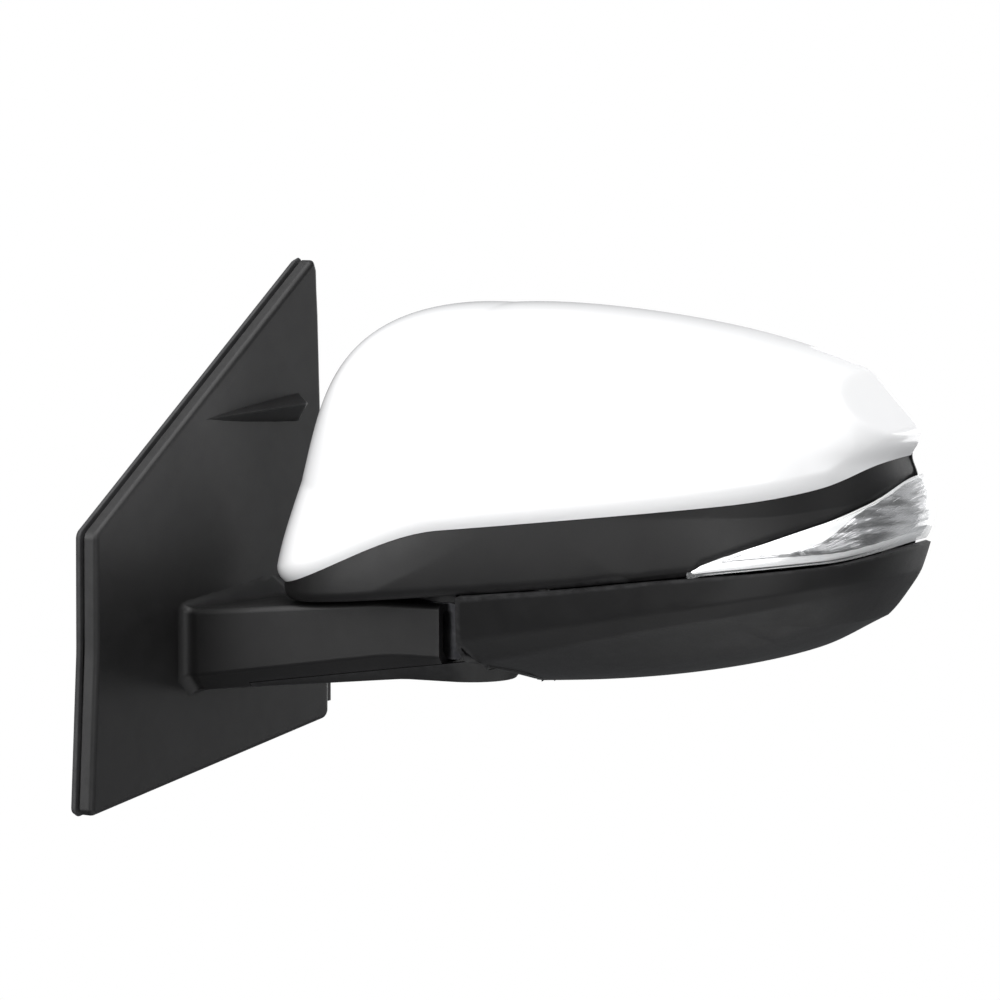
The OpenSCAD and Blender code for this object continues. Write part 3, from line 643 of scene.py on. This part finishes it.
def add_studio():
    """Softboxes, a dim world for light and a white one for the camera."""
    world = bpy.data.worlds.new("studio")
    SCENE.world = world
    world.use_nodes = True
    tree = world.node_tree
    tree.nodes.clear()
    out = tree.nodes.new("ShaderNodeOutputWorld")
    seen, lit = tree.nodes.new("ShaderNodeBackground"), tree.nodes.new("ShaderNodeBackground")
    seen.inputs["Color"].default_value = (1, 1, 1, 1)
    lit.inputs["Color"].default_value = (0.93, 0.96, 1.0, 1)
    lit.inputs["Strength"].default_value = 0.16
    pick = tree.nodes.new("ShaderNodeMixShader")
    path = tree.nodes.new("ShaderNodeLightPath")
    tree.links.new(path.outputs["Is Camera Ray"], pick.inputs[0])
    tree.links.new(lit.outputs[0], pick.inputs[1])
    tree.links.new(seen.outputs[0], pick.inputs[2])
    tree.links.new(pick.outputs[0], out.inputs[0])
    add_softbox("top softbox", (0.1, -0.4, 1.6), (2.2, 2.2), 52.0)
    add_softbox("left softbox", (-1.1, -1.9, 0.78), (2.2, 2.0), 56.0)
    add_softbox("front right softbox", (1.5, -1.6, 0.5), (1.6, 1.6), 20.0)
    add_softbox("right softbox", (1.7, 0.25, 0.35), (1.0, 1.2), 4.0)
    add_softbox("rear softbox", (0.2, 2.0, 0.1), (1.6, 1.2), 14.0)
    SCENE.view_settings.view_transform = "Standard"
    SCENE.view_settings.look = "None"


def add_floor():
    """A disc well below the object and to its outboard side."""
    centre_x, radius, depth, sides = 0.55, 0.55, -0.50, 96
    turns = [2 * math.pi * k / sides for k in range(sides)]
    mesh = bpy.data.meshes.new("floor")
    mesh.from_pydata([(centre_x + radius * math.cos(t), radius * math.sin(t), depth) for t in turns],
                     [], [tuple(range(sides))])
    mesh.materials.append(surface("pale floor", (6.0,), (0.60, 0.60, 0.60), (0.64, 0.64, 0.64),
                                  (20.0,), (0.6, 0.75)).material)
    floor = bpy.data.objects.new("floor", mesh)
    SCENE.collection.objects.link(floor)


add_camera()
add_studio()
add_floor()


# ---- Painted cap and skirt ---------------------------------------------------
CAP_ROLL = 2.3
SKIRT_ROLL = 1.2


def make_cap():
    """The painted shell, whose lower edge rolls in towards the skirt."""
    a = spread(-1, 1, 220)
    a2, b, x, z = dome_grid(a, b_on(a, cap_edge_z), np.ones_like(a), 130)
    above = z - cap_edge_z(x)
    height = 5.2 + 6 * clamp01((x - 150) / 16)
    roll = CAP_ROLL * clamp01(1 - above / height) ** 1.7
    cap = head_piece("painted_cap_shell", [(dome(a2, b, roll), False)], "white_paint", bevel=0.45, solid=2.2)
    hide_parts("painted_cap")


def make_skirt():
    """The grained housing below the cap, with its floor over the arm."""
    a = spread(-1, 1, 200)
    a2, b, x, z = dome_grid(a, b_on(a, skirt_edge_z), b_on(a, lambda x: cap_edge_z(x) + 7), 40)
    roll = SKIRT_ROLL * clamp01(1 - (z - skirt_edge_z(x)) / 2.2) ** 2
    front = dome(a2, b, SKIRT_INSET + roll)
    left = a < a_at_x(SHROUD_X + 1)
    edge = dome(a[left], b[left, 0], SKIRT_INSET + SKIRT_ROLL)
    back = np.stack([edge[:, 0], np.full(len(edge), RIM_Y - 0.3), np.maximum(edge[:, 2], seam_z(edge[:, 0]))], -1)
    floor = mix(edge[:, None], back[:, None], np.linspace(0, 1, 30)[None, :, None])
    skirt = head_piece("housing_skirt", [(front, False), (floor, True)], "black_plastic", bevel=0.35, solid=2.0)
    hole = from_head(cylinder_points(0, 0, PIVOT_HOLE_R, -20, 60, 96))
    cut_finished(skirt, tool_object("pivot_hole", hole, prism_faces(len(hole) // 2)))
    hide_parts("front_housing")


# ---- Lower cover -------------------------------------------------------------
def crease_a_z(x):
    """Height of the upper crease of the lower cover."""
    return -9.2 + 0.186 * x


def crease_b_z(x):
    """Height of the lower crease."""
    return np.minimum(-20.1 + 0.232 * x + 2.5 * clamp01((x - 150) / 20) ** 2, crease_a_z(x) - 0.8)


def left_x(y):
    """Where the lower cover ends beside the arm, hollowed around the arm's round end."""
    front = SHROUD_X - 0.43 * np.clip(y + 51, 0, 13)
    edge = np.where(y < 0, front, SHROUD_X)
    reach = np.where(y < 0, SHROUD_R + 2 * smooth(-y / 12) + 3.8 * smooth((-y - 24) / 5), SHROUD_R)
    return np.maximum(edge, np.sqrt(np.maximum(0, reach ** 2 - y * y)))


def a_left(b):
    """a of the lower cover's edge beside the arm."""
    low, high = np.full_like(b, -0.45), np.full_like(b, 0.3)
    for _ in range(22):
        mid = (low + high) / 2
        p = dome(mid, b)
        beyond = p[..., 0] > left_x(p[..., 1])
        low, high = np.where(beyond, low, mid), np.where(beyond, mid, high)
    return (low + high) / 2


def chord_pull(points, start, end, weight):
    """Pulls the rows between start and end of a grid towards the straight line between those two."""
    count = end - start
    for j in range(start + 1, end):
        t = (j - start) / count
        chord = mix(points[:, start], points[:, end], t)
        points[:, j] = mix(points[:, j], chord, weight(t))


def ease_rows(points, row, reach, share):
    """Rounds the fold along one row of a grid over the rows within reach of it."""
    for _ in range(4 * reach):
        near = points[:, row - reach:row + reach + 1]
        mean = (points[:, row - reach - 1:row + reach] + 2 * near + points[:, row - reach + 1:row + reach + 2]) / 4
        points[:, row - reach:row + reach + 1] = mix(near, mean, share)


def lower_points(cols, upper, middle, lower):
    """Grid of the lower cover: rows run from the seam over both creases to the rear rim."""
    t = np.linspace(0, 1, cols)[:, None]
    rows = upper + middle + lower + 1
    a = np.repeat(mix(-0.17, 1.0, t), rows, 1)
    for _ in range(3):
        top = b_on(a[:, 0], lambda x: seam_z(x) - 1.2)
        one = np.minimum(b_on(a[:, upper], crease_a_z), top - 0.02)
        two = np.minimum(b_on(a[:, upper + middle], crease_b_z), one - 0.02)
        b = np.concatenate([
            mix(top[:, None], one[:, None], np.linspace(0, 1, upper + 1)[None, :-1]),
            mix(one[:, None], two[:, None], np.linspace(0, 1, middle + 1)[None, :-1]),
            b_columns(two, np.full_like(two, -1.0), lower)], 1)
        start = a_left(b)
        a = np.sin(mix(np.arcsin(start), math.pi / 2, t))
    points = dome(a, b, proud(a))
    knee = int(upper + middle + lower * 0.62)
    chord_pull(points, 0, upper, lambda u: 0.7)
    chord_pull(points, upper, upper + middle, lambda u: 0.95)
    chord_pull(points, upper + middle, knee, lambda u: 0.75 * (1 - u * u))
    for _ in range(2):
        for j in (upper, upper + middle):
            points[:, j] = (points[:, j - 1] + 2 * points[:, j] + points[:, j + 1]) / 4
    fade = smooth((t - 0.62) / 0.3)[:, :, None]
    ease_rows(points, upper + middle, 6, fade)
    ease_rows(points, knee, 7, 1.0)
    return points


def make_lower_cover():
    """The black cover under the skirt, with a wall beside the arm."""
    points = lower_points(180, 14, 12, 56)
    edge = points[0]
    depth = np.linspace(0, 1, 24)[:, None]
    y = mix(edge[None, :, 1], RIM_Y - 0.6, depth)
    wall = np.stack([left_x(y), y, np.repeat(edge[None, :, 2], len(depth), 0)], -1)
    cover = head_piece("lower_cover_shell", [(points, False), (wall, True)], "black_plastic", bevel=0.5, solid=2.0)
    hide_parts("lower_cover")


# ---- Turn-signal lamp --------------------------------------------------------
LENS_TIP_X = 110.5
GUIDE_TIP_X = 121.0
LAMP_B = -0.25


def lens_low_z(x):
    return seam_z(x) + 0.25


def lens_high_z(x):
    height = lens_top_z(x) - seam_z(x)
    return lens_low_z(x) + np.maximum(0.25, (height - 0.25) * smooth((x - LENS_TIP_X + 1.5) / 5.0))


def lamp_grid(a0, cols, rows, low, high, inset):
    """Grid from a0 to the head's end between two lines; inset(a, x, z) is its depth behind the cover's face."""
    a = spread(a0, 1.0, cols)
    a2, b, x, z = dome_grid(a, b_on(a, low), b_on(a, high), rows)
    return dome(a2, b, proud(a2) + inset(a2, x, z))


def lens_inset(a, x, z):
    """How far the lens swells out between its upper and lower edges, next to the lower cover's face."""
    share = clamp01((z - lens_low_z(x)) / np.maximum(lens_high_z(x) - lens_low_z(x), 0.3))
    return -proud(a) * (0.1 + 0.75 * np.abs(1.7 * share - 0.75).clip(0, 1) ** 2.2)


def make_lens():
    """The clear cover of the lamp."""
    points = lamp_grid(a_at_x(LENS_TIP_X, LAMP_B), 150, 30, lens_low_z, lens_high_z, lens_inset)
    lens = head_piece("signal_lens", [(points, False)], "clear_lens", bevel=0.3, solid=1.1)
    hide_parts("indicator_lens")


def guide_low_z(x):
    return lens_low_z(x) + 0.3 + 3.4 * smooth((x - 110) / 14) - 1.2 * smooth((x - 135) / 25)


def guide_high_z(x):
    top = lens_high_z(x) - 0.8 - 5.6 * smooth((x - 126) / 16) * (1 - smooth((x - 148) / 14))
    return np.maximum(guide_low_z(x) + 0.3, top)


def make_reflector():
    """A bright moulding behind the lens, with a fluted light guide lying over it."""
    def depth(a, x, z):
        fold = clamp01(0.5 + (z - lens_low_z(x) - 1.2 - 0.22 * (x - 110)) / 0.8)
        return lens_inset(a, x, z) + 1.9 + 0.7 * fold * smooth((136 - x) / 10)

    points = lamp_grid(a_at_x(LENS_TIP_X + 0.8, LAMP_B), 260, 60,
                       lambda x: lens_low_z(x) + 0.15, lambda x: lens_high_z(x) - 0.1, depth)
    part = head_piece("signal_reflector", [(points, False)], "reflector", sharp=70, solid=0.8)

    def flutes(a, x, z):
        share = (z - guide_low_z(x)) / np.maximum(guide_high_z(x) - guide_low_z(x), 0.3)
        ribs = np.abs(np.sin(np.pi * 6 * share))
        facets = 0.5 + 0.5 * np.sin(x * 1.9 + 2.0 * share)
        return lens_inset(a, x, z) + 1.6 - 0.45 * ribs - 0.16 * facets

    points = lamp_grid(a_at_x(GUIDE_TIP_X, LAMP_B), 300, 72, guide_low_z, guide_high_z, flutes)
    head_piece("light_guide", [(points, False)], "reflector", sharp=70, look="light_guide", solid=0.4)
    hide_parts("indicator_reflector")


# ---- Rear bezel and glass ----------------------------------------------------
BEZEL_CENTRE = np.array([60.0, 45.0])
STEP_X = 16.5


def ray_hits(outline, centre, angles):
    """Where rays from a centre cross a closed outline that is star-shaped around it."""
    p = np.asarray(outline, float)
    q = np.roll(p, -1, 0)
    hits = []
    for t in angles:
        d = np.array([math.cos(t), math.sin(t)])
        e = q - p
        w = p - centre
        det = e[:, 0] * d[1] - e[:, 1] * d[0]
        det = np.where(np.abs(det) < 1e-12, 1e-12, det)
        along = (e[:, 0] * w[:, 1] - e[:, 1] * w[:, 0]) / det
        share = (d[0] * w[:, 1] - d[1] * w[:, 0]) / det
        ok = (share >= -1e-9) & (share <= 1 + 1e-9) & (along > 0)
        hits.append(centre + d * along[ok].min())
    return np.array(hits)


def round_outline(corners, r, step):
    """Outline of equal circles around the corners, counter-clockwise."""
    pts = np.asarray(corners, float)
    if np.sum(pts[:, 0] * np.roll(pts[:, 1], -1) - np.roll(pts[:, 0], -1) * pts[:, 1]) < 0:
        pts = pts[::-1]
    made = []
    for i, p in enumerate(pts):
        before, after = p - pts[i - 1], pts[(i + 1) % len(pts)] - p
        t0 = math.atan2(-before[0], before[1])
        t1 = math.atan2(-after[0], after[1])
        turn = (t1 - t0) % (2 * math.pi)
        for k in range(step + 1):
            t = t0 + turn * k / step
            made.append(p + r * np.array([math.cos(t), math.sin(t)]))
    return np.array(made)


def soft_outline(points, reach, count=240):
    """A closed outline with evenly spaced points whose corners are eased over the distance reach."""
    p = np.vstack([points, points[:1]])
    run = np.concatenate([[0], np.cumsum(np.linalg.norm(np.diff(p, axis=0), axis=1))])
    pitch = run[-1] / count
    even = np.stack([np.interp(np.arange(count) * pitch, run, p[:, k]) for k in (0, 1)], -1)
    steps = np.arange(-count // 8, count // 8 + 1)
    share = np.exp(-(steps * pitch / reach) ** 2)
    return sum(w * np.roll(even, k, 0) for w, k in zip(share / share.sum(), steps))


def rim_outline(inset):
    """The head's widest outline as [x, z]."""
    side = np.sin(np.linspace(-math.pi / 2, math.pi / 2, 60, endpoint=False))
    one = np.ones_like(side)
    a = np.concatenate([side, one, -side, -one])
    b = np.concatenate([-one, side, one, -side])
    return dome(a, b, inset)[:, [0, 2]]


def bezel_outline(inset):
    """Rim outline with the step over the arm, counter-clockwise."""
    rim = rim_outline(inset)
    x = STEP_X + inset
    keep = ~((rim[:, 0] < x) & (rim[:, 1] < seam_z(rim[:, 0]) + inset))
    start = int(np.argmax(keep & ~np.roll(keep, 1)))
    order = np.roll(np.arange(len(rim)), -start)
    kept = rim[order][keep[order]]
    corner = np.array([[x, seam_z(x) + inset]])
    low = np.array([[x, kept[0][1]]])
    left = np.array([[kept[-1][0], seam_z(kept[-1][0]) + inset]])
    return np.concatenate([kept, left, corner, low])


def make_bezel():
    """The frame around the glass: a rolled outer edge, a crowned face and a deep inner wall."""
    angles = np.linspace(-math.pi, math.pi, 720, endpoint=False)
    opening = soft_outline(round_outline(GLASS_CORNERS, GLASS_R + GLASS_GAP, 6), GLASS_EASE)
    outer = ray_hits(bezel_outline(0.3), BEZEL_CENTRE, angles)
    inner = ray_hits(opening, BEZEL_CENTRE, angles)
    width = np.linalg.norm(outer - inner, axis=1)
    toward = (inner - outer) / width[:, None]
    r0, r1, face_y = 1.6, 1.9, RIM_Y + 2.4
    rings = []

    def ring(inward, y):
        """A loop at distances in from the outer edge."""
        p = outer + toward * np.broadcast_to(inward, width.shape)[:, None]
        rings.append(np.insert(p, 1, y, axis=1))

    ring(2.0, RIM_Y + 0.3)
    ring(0.0, RIM_Y + 0.3)
    turns = np.linspace(0, math.pi / 2, 6)
    for t in turns:
        ring(r0 * (1 - math.cos(t)), face_y - r0 + r0 * math.sin(t))
    for share in np.linspace(0.08, 0.92, 9):
        ring(mix(r0, width - r1, share), face_y - 0.2 * (1 - (2 * share - 1) ** 2))
    for t in turns:
        ring(width - r1 * (1 - math.sin(t)) - 1e-6, face_y - r1 + r1 * math.cos(t))
    for inward, y in ((1e-6, -7), (1e-6, -20), (1.0, -20), (2.0, -7), (2.0, 0.3)):
        ring(width - inward, RIM_Y + y)
    bezel = new_piece("glass_bezel", from_head(np.array(rings)).reshape(-1, 3),
                      looped_faces(len(rings), len(angles)), "head", "black_plastic", sharp=60)
    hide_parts("rear_bezel")


def glass_loop(grow, y):
    """The glass's outline at the height y, grown outward."""
    outline = round_outline(GLASS_CORNERS, GLASS_R + grow, 10)
    return np.insert(soft_outline(outline, GLASS_EASE), 1, y, axis=1)


def make_glass():
    """A flat mirror with a narrow ground bevel around its face."""
    face_y = GLASS_Y + GLASS_T
    loops = [glass_loop(-0.05, GLASS_Y), glass_loop(0.0, GLASS_Y + 0.15), glass_loop(0.0, face_y - 0.9),
             glass_loop(-0.25, face_y - 0.35), glass_loop(-1.6, face_y)]
    glass = new_piece("mirror_glass_pane", from_head(np.concatenate(loops)),
                      capped_faces(len(loops), len(loops[0])), "glass", "mirror", sharp=8)
    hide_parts("mirror_glass")


# ---- Door base and arm -------------------------------------------------------
SAIL = [(-67.5, 31), (72.5, 130.4), (75, 131.4), (77, 127), (77.3, 119), (78, 109), (79.5, 68), (84, -38),
        (84, -56), (-72, -76.4), (-67.9, -14)]
SAIL_RADII = [4, 3, 2, 3, 10, 12, 60, 20, 4, 2.5, 80]
SAIL_STEP, SAIL_STEP_X, SAIL_EDGE_R = 1.3, 4.0, 2.2
ARM_TOP_FLARE, ARM_SIDE_FLARE, ARM_LOW_FLARE = 3.0, 4.5, 4.0
ARM_ROOT_X, ARM_MID_X = 9.9, 16.0
ARM_ROOT_YS, ARM_MID_YS = (-14.0, 56.0), (-13.8, 51.0)
ARM_TOP_Z, ARM_LOW_Z = -1.9, -34.2
ARM_RUN, ARM_FINE = 77, 12.0
ARM_SEAM = [(36.0, -30.2), (118.0, -18.4), (150.0, -13.8)]
ARM_SCREW_XS, ARM_SCREW_Y = (68.0, 94.0), 22.0
ARM_SCREW_R, ARM_SINK_R, ARM_BOSS_R = 1.8, 3.6, 5.5
ARM_SINK_DEPTH, ARM_BOSS_H = 2.2, 4.2
ARM_COVER_WALL = 1.8
SEAT_R = 20.3
FIN_YS = (2.0, 64.0)
# The recess in the front of the arm's end, its lowest and its highest corner
ARM_RECESS = (119.6, -20, -31.5), (150, 7.5, 12)
# The tab at the sail's rear lower corner
SAIL_TAB = (GASKET_T + 0.2, 80, -50), (7, 89, -20)


def fillet(points, radii, steps=5, closed=True):
    """A polyline with its corners rounded, the same number of points for each corner."""
    pts = [np.asarray(p, float) for p in points]
    made = []
    for i, p in enumerate(pts):
        if not closed and i in (0, len(pts) - 1):
            made.append(p)
            continue
        before, after = pts[i - 1] - p, pts[(i + 1) % len(pts)] - p
        lb, la = np.linalg.norm(before), np.linalg.norm(after)
        before, after = before / lb, after / la
        half = math.acos(float(np.clip(before @ after, -0.999999, 0.999999))) / 2
        reach = min(radii[i] / math.tan(half), 0.45 * lb, 0.45 * la)
        r = reach * math.tan(half)
        mid = before + after
        centre = p + mid / np.linalg.norm(mid) * (r / math.sin(half))
        start, end = p + before * reach - centre, p + after * reach - centre
        turn = math.atan2(start[0] * end[1] - start[1] * end[0], float(start @ end))
        for k in range(steps + 1):
            c, q = math.cos(turn * k / steps), math.sin(turn * k / steps)
            made.append(centre + np.array([start[0] * c - start[1] * q, start[0] * q + start[1] * c]))
    return np.array(made)


def offset_outline(points, d):
    """A closed clockwise or counter-clockwise outline moved outward by d."""
    p = np.asarray(points, float)
    area = np.sum(p[:, 0] * np.roll(p[:, 1], -1) - np.roll(p[:, 0], -1) * p[:, 1])
    edge = np.roll(p, -1, 0) - p
    edge /= np.maximum(np.linalg.norm(edge, axis=1), 1e-9)[:, None]
    normal = np.stack([edge[:, 1], -edge[:, 0]], -1) * (1 if area > 0 else -1)
    before = np.roll(normal, 1, 0)
    mitre = (normal + before) / (1 + np.sum(normal * before, 1))[:, None]
    return p + mitre * d


def sail_outline(grow):
    """Outline of the door cover as [y, z], moved outward by grow."""
    return fillet(offset_outline(SAIL, grow), [max(0.6, r + grow) for r in SAIL_RADII])


def sail_loops(levels):
    """Loops of the door cover's outline at (offset, x) levels."""
    return [np.insert(sail_outline(grow), 0, x, axis=1) for grow, x in levels]


def sail_solid(levels):
    """A closed solid through (offset, x) levels of the door cover's outline."""
    loops = sail_loops(levels)
    return np.concatenate(loops), capped_faces(len(loops), len(loops[0]))


def quarter(r, x, steps=5):
    """(offset, x) levels of an edge rounded by r that ends at height x."""
    return [(-r * (1 - math.cos(t)), x - r + r * math.sin(t)) for t in np.linspace(0, math.pi / 2, steps + 1)]


def flare(x, r):
    """How far a side of the arm widens by at its root, with the radius r."""
    u = np.clip(r - (x - ARM_ROOT_X), 0, r)
    return r - np.sqrt(np.maximum(r * r - u * u, 0))


def arm_top_z(x, y, flared):
    """Height of the arm's top."""
    root = -1.5 + (y - ARM_ROOT_YS[0]) / (ARM_ROOT_YS[1] - ARM_ROOT_YS[0]) * 6.8
    near = mix(root, ARM_TOP_Z, smooth((x - ARM_ROOT_X) / (ARM_MID_X - ARM_ROOT_X)))
    far = mix(ARM_TOP_Z, SEAT_Z, clamp01((x - ARM_MID_X) / ARM_RUN))
    return np.where(x < ARM_MID_X, near, far) + (flare(x, ARM_TOP_FLARE) if flared else 0)


def arm_low_z(x, flared):
    """Height of the arm's underside."""
    near = mix(-34.4, ARM_LOW_Z, clamp01((x - ARM_ROOT_X) / (ARM_MID_X - ARM_ROOT_X)))
    far = mix(ARM_LOW_Z, ARM_BOTTOM, clamp01((x - ARM_MID_X) / 85))
    return np.where(x < ARM_MID_X, near, far) - (flare(x, ARM_LOW_FLARE) if flared else 0)


def arm_plan(g, x0, flared):
    """The arm's outline in plan from its front root round the pivot to its rear root, with outward normals."""
    r = ARM_END_R - g
    centre = np.array([PIVOT_X, PIVOT_Y])
    sides = []
    for sign, root_y, mid_y in zip((-1, 1), ARM_ROOT_YS, ARM_MID_YS):
        root_y, mid_y = root_y - sign * g, mid_y - sign * g
        start = np.array([ARM_MID_X, mid_y])
        away = centre - start
        dist = np.linalg.norm(away)
        turn = math.asin(r / dist) * sign
        c, q = math.cos(turn), math.sin(turn)
        d = np.array([away[0] * c - away[1] * q, away[0] * q + away[1] * c]) / dist
        touch = start + d * math.sqrt(dist * dist - r * r)
        xs = np.concatenate([np.linspace(x0, ARM_ROOT_X, 4)[:-1],
                             ARM_ROOT_X + ARM_FINE * np.linspace(0, 1, 24) ** 1.5,
                             np.linspace(ARM_ROOT_X + ARM_FINE, touch[0], 28)[1:]])
        ys = np.where(xs < ARM_MID_X, mix(root_y, mid_y, (xs - ARM_ROOT_X) / (ARM_MID_X - ARM_ROOT_X)),
                      mix(mid_y, touch[1], (xs - ARM_MID_X) / (touch[0] - ARM_MID_X)))
        grow = sign * flare(xs, ARM_SIDE_FLARE) if flared else 0 * xs
        sides.append((np.stack([xs, ys], -1), touch, np.stack([0 * xs, grow], -1)))
    front, rear = sides[0][0], sides[1][0][::-1]
    t0 = math.atan2(*(sides[0][1] - centre)[::-1])
    t1 = math.atan2(*(sides[1][1] - centre)[::-1])
    arc = np.linspace(t0, t1, 62)[1:-1]
    path = np.concatenate([front, centre + r * np.stack([np.cos(arc), np.sin(arc)], -1), rear])
    grow = np.concatenate([sides[0][2], np.zeros((len(arc), 2)), sides[1][2][::-1]])
    along = np.gradient(path, axis=0)
    along /= np.linalg.norm(along, axis=1)[:, None]
    return path + grow, np.stack([along[:, 1], -along[:, 0]], -1)


def arm_mesh(g=0.0, x0=9.0, flared=True):
    """The arm from x0 outboard, inset by g, open at its root."""
    path, normal = arm_plan(g, x0, flared)
    inner, cross = 9.0, 9
    count, rings = len(path), []
    for p, n in zip(path, normal):
        x = p[0]
        share = clamp01((x - ARM_MID_X) / ARM_RUN)
        cw, ch = mix(6.0, ARM_CHAMFER, share), mix(6.4, ARM_CHAMFER_H, share)
        top, low = float(arm_top_z(x, p[1], flared)) - g, float(arm_low_z(x, flared)) + g
        section = fillet([(inner, top), (0, top), (0, low + ch), (cw, low), (inner, low)],
                         [0, 2.4, 2.5, 2.5, 0], 5, closed=False)
        xy = p[None, :] - n[None, :] * section[:, :1]
        lift = arm_top_z(xy[:, 0], xy[:, 1], flared) - arm_top_z(np.full(len(xy), x), np.full(len(xy), p[1]), flared)
        upper = clamp01((section[:, 1] - (top - 8)) / 8)
        rings.append(np.c_[xy, section[:, 1] + lift * upper])
    rings = np.array(rings)
    rows = rings.shape[1]
    half = count // 2
    verts = list(rings.reshape(-1, 3))
    faces = grid_faces(count, rows)

    def fill(k, flip, top):
        """Surface across the arm between the two halves of ring row k."""
        grid = []
        for i in range(half + 1):
            p, q = rings[i, k], rings[count - 1 - i, k]
            t = np.linspace(0, 1, cross + 1)[:, None]
            line = p + (q - p) * t
            if top:
                line[:, 2] = arm_top_z(line[:, 0], line[:, 1], flared) - g
                line[0], line[-1] = p, q
            grid.append(line)
        grid = np.array(grid)
        start = len(verts)
        verts.extend(grid.reshape(-1, 3))
        faces.extend(grid_faces(half + 1, cross + 1, start, flip))

    fill(0, True, True)
    fill(rows - 1, False, False)
    return np.array(verts), faces


def prism_y(name, outline, y0, y1):
    """A tool extruded along y from an [x, z] outline."""
    points = [(x, y, z) for y in (y0, y1) for x, z in outline]
    return tool_object(name, points, prism_faces(len(outline)))


def seam_tool(gap):
    """Everything below the arm's seam, moved up by gap."""
    line = [(ARM_SEAM[0][0] - gap, ARM_SEAM[0][1] + gap)] + [(x, z + gap) for x, z in ARM_SEAM[1:]]
    return prism_y("seam_zone", [(ARM_SEAM[0][0] - gap, -60)] + line + [(ARM_SEAM[2][0], -60)], -80, 120)


def round_tool(name, x, y, r, z0, z1):
    points = cylinder_points(x, y, r, z0, z1)
    return tool_object(name, points, prism_faces(len(points) // 2))


def fin_tool():
    """A slender blade on the sail with a soft ridge, blunt at its rear end."""
    rings = []
    for y in np.linspace(*FIN_YS, 50):
        t = (y - FIN_YS[0]) / (FIN_YS[1] - FIN_YS[0])
        tall = 0.3 + 6.2 * smooth(t / 0.9) ** 0.8
        mid, half = 70.6 + 1.6 * t, 0.5 + 5.6 * t ** 0.8
        blunt = math.sqrt(max(0.05, 1 - clamp01((t - 0.93) / 0.07) ** 2))
        ring = []
        for u in np.linspace(-1, 1, 17):
            ridge = mid + 0.35 * half
            z = mid + half * u
            reach = mid + half - ridge if z > ridge else ridge - mid + half
            near = float(clamp01(1 - abs(z - ridge) / reach))
            ring.append((ARM_ROOT_X - 0.6 + (tall + 0.6) * near ** 0.75 * blunt, y, z))
        rings.append(ring + [(ARM_ROOT_X - 1.5, y, mid + half), (ARM_ROOT_X - 1.5, y, mid - half)])
    return tool_object("fin", np.array(rings).reshape(-1, 3), capped_faces(len(rings), len(rings[0])))


def slab_tool(name, lo, hi):
    pts = [(x, y, z) for x in (lo[0], hi[0]) for y in (lo[1], hi[1]) for z in (lo[2], hi[2])]
    faces = [(0, 1, 3, 2), (4, 6, 7, 5), (0, 4, 5, 1), (2, 3, 7, 6), (0, 2, 6, 4), (1, 5, 7, 3)]
    return tool_object(name, pts, faces)


def make_base():
    """The sail and arm as one hollow shell, and the arm's lower cover cut from the same arm."""
    levels = [(-SAIL_STEP, GASKET_T + 0.2), (-SAIL_STEP, SAIL_STEP_X), (0, SAIL_STEP_X + 0.2)]
    cover = tool_object("door_cover", *sail_solid(levels + quarter(SAIL_EDGE_R, BASE_DEPTH)))
    combine(cover, closed_tool("arm", *arm_mesh()), "UNION")
    combine(cover, fin_tool(), "UNION")
    combine(cover, slab_tool("tab", *SAIL_TAB), "UNION")
    hollow = tool_object("hollow", *sail_solid([(-WALL, -1), (-WALL, BASE_DEPTH - WALL)]))
    combine(cover, hollow, "DIFFERENCE")
    combine(cover, closed_tool("arm_hollow", *arm_mesh(WALL, -1.0, False)), "DIFFERENCE")
    combine(cover, round_tool("seat", PIVOT_X, PIVOT_Y, SEAT_R, -8, 30), "DIFFERENCE")
    combine(cover, seam_tool(0.25), "DIFFERENCE")
    combine(cover, slab_tool("end_recess", *ARM_RECESS), "DIFFERENCE")
    finish_piece(cover, "base", "black_plastic", sharp=32)
    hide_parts("base_cover")

    lower = closed_tool("arm_cover", *arm_mesh())
    combine(lower, seam_tool(0.0), "INTERSECT")
    room = closed_tool("arm_cover_hollow", *arm_mesh(ARM_COVER_WALL, 38.5, False))
    for x in ARM_SCREW_XS:
        floor_z = float(arm_low_z(np.array(x), False))
        combine(room, round_tool("boss", x, ARM_SCREW_Y, ARM_BOSS_R, -60, floor_z + ARM_BOSS_H), "DIFFERENCE")
        combine(lower, round_tool("hole", x, ARM_SCREW_Y, ARM_SCREW_R, -60, 0), "DIFFERENCE")
        combine(lower, round_tool("sink", x, ARM_SCREW_Y, ARM_SINK_R, -60, floor_z + ARM_SINK_DEPTH), "DIFFERENCE")
    combine(lower, room, "DIFFERENCE")
    finish_piece(lower, "base", "black_plastic", sharp=32)
    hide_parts("arm_lower_cover")


def make_gasket():
    """A rubber ring on the door with a soft rounded lip."""
    lip = [(-4.8, 0.05), (-4.8, GASKET_T), (0.2, GASKET_T), (0.6, GASKET_T - 0.2), (0.8, GASKET_T - 0.7),
           (0.6, GASKET_T - 1.2), (0.2, GASKET_T - 1.5), (0.2, 0.4), (0.0, 0.0), (-4.7, 0.0)]
    loops = sail_loops(lip)
    gasket = new_piece("door_gasket", np.concatenate(loops), looped_faces(len(loops), len(loops[0])),
                       "base", "rubber", sharp=50)
    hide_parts("gasket")


make_base()
make_gasket()
make_cap()
make_skirt()
make_lower_cover()
make_lens()
make_reflector()
make_bezel()
make_glass()
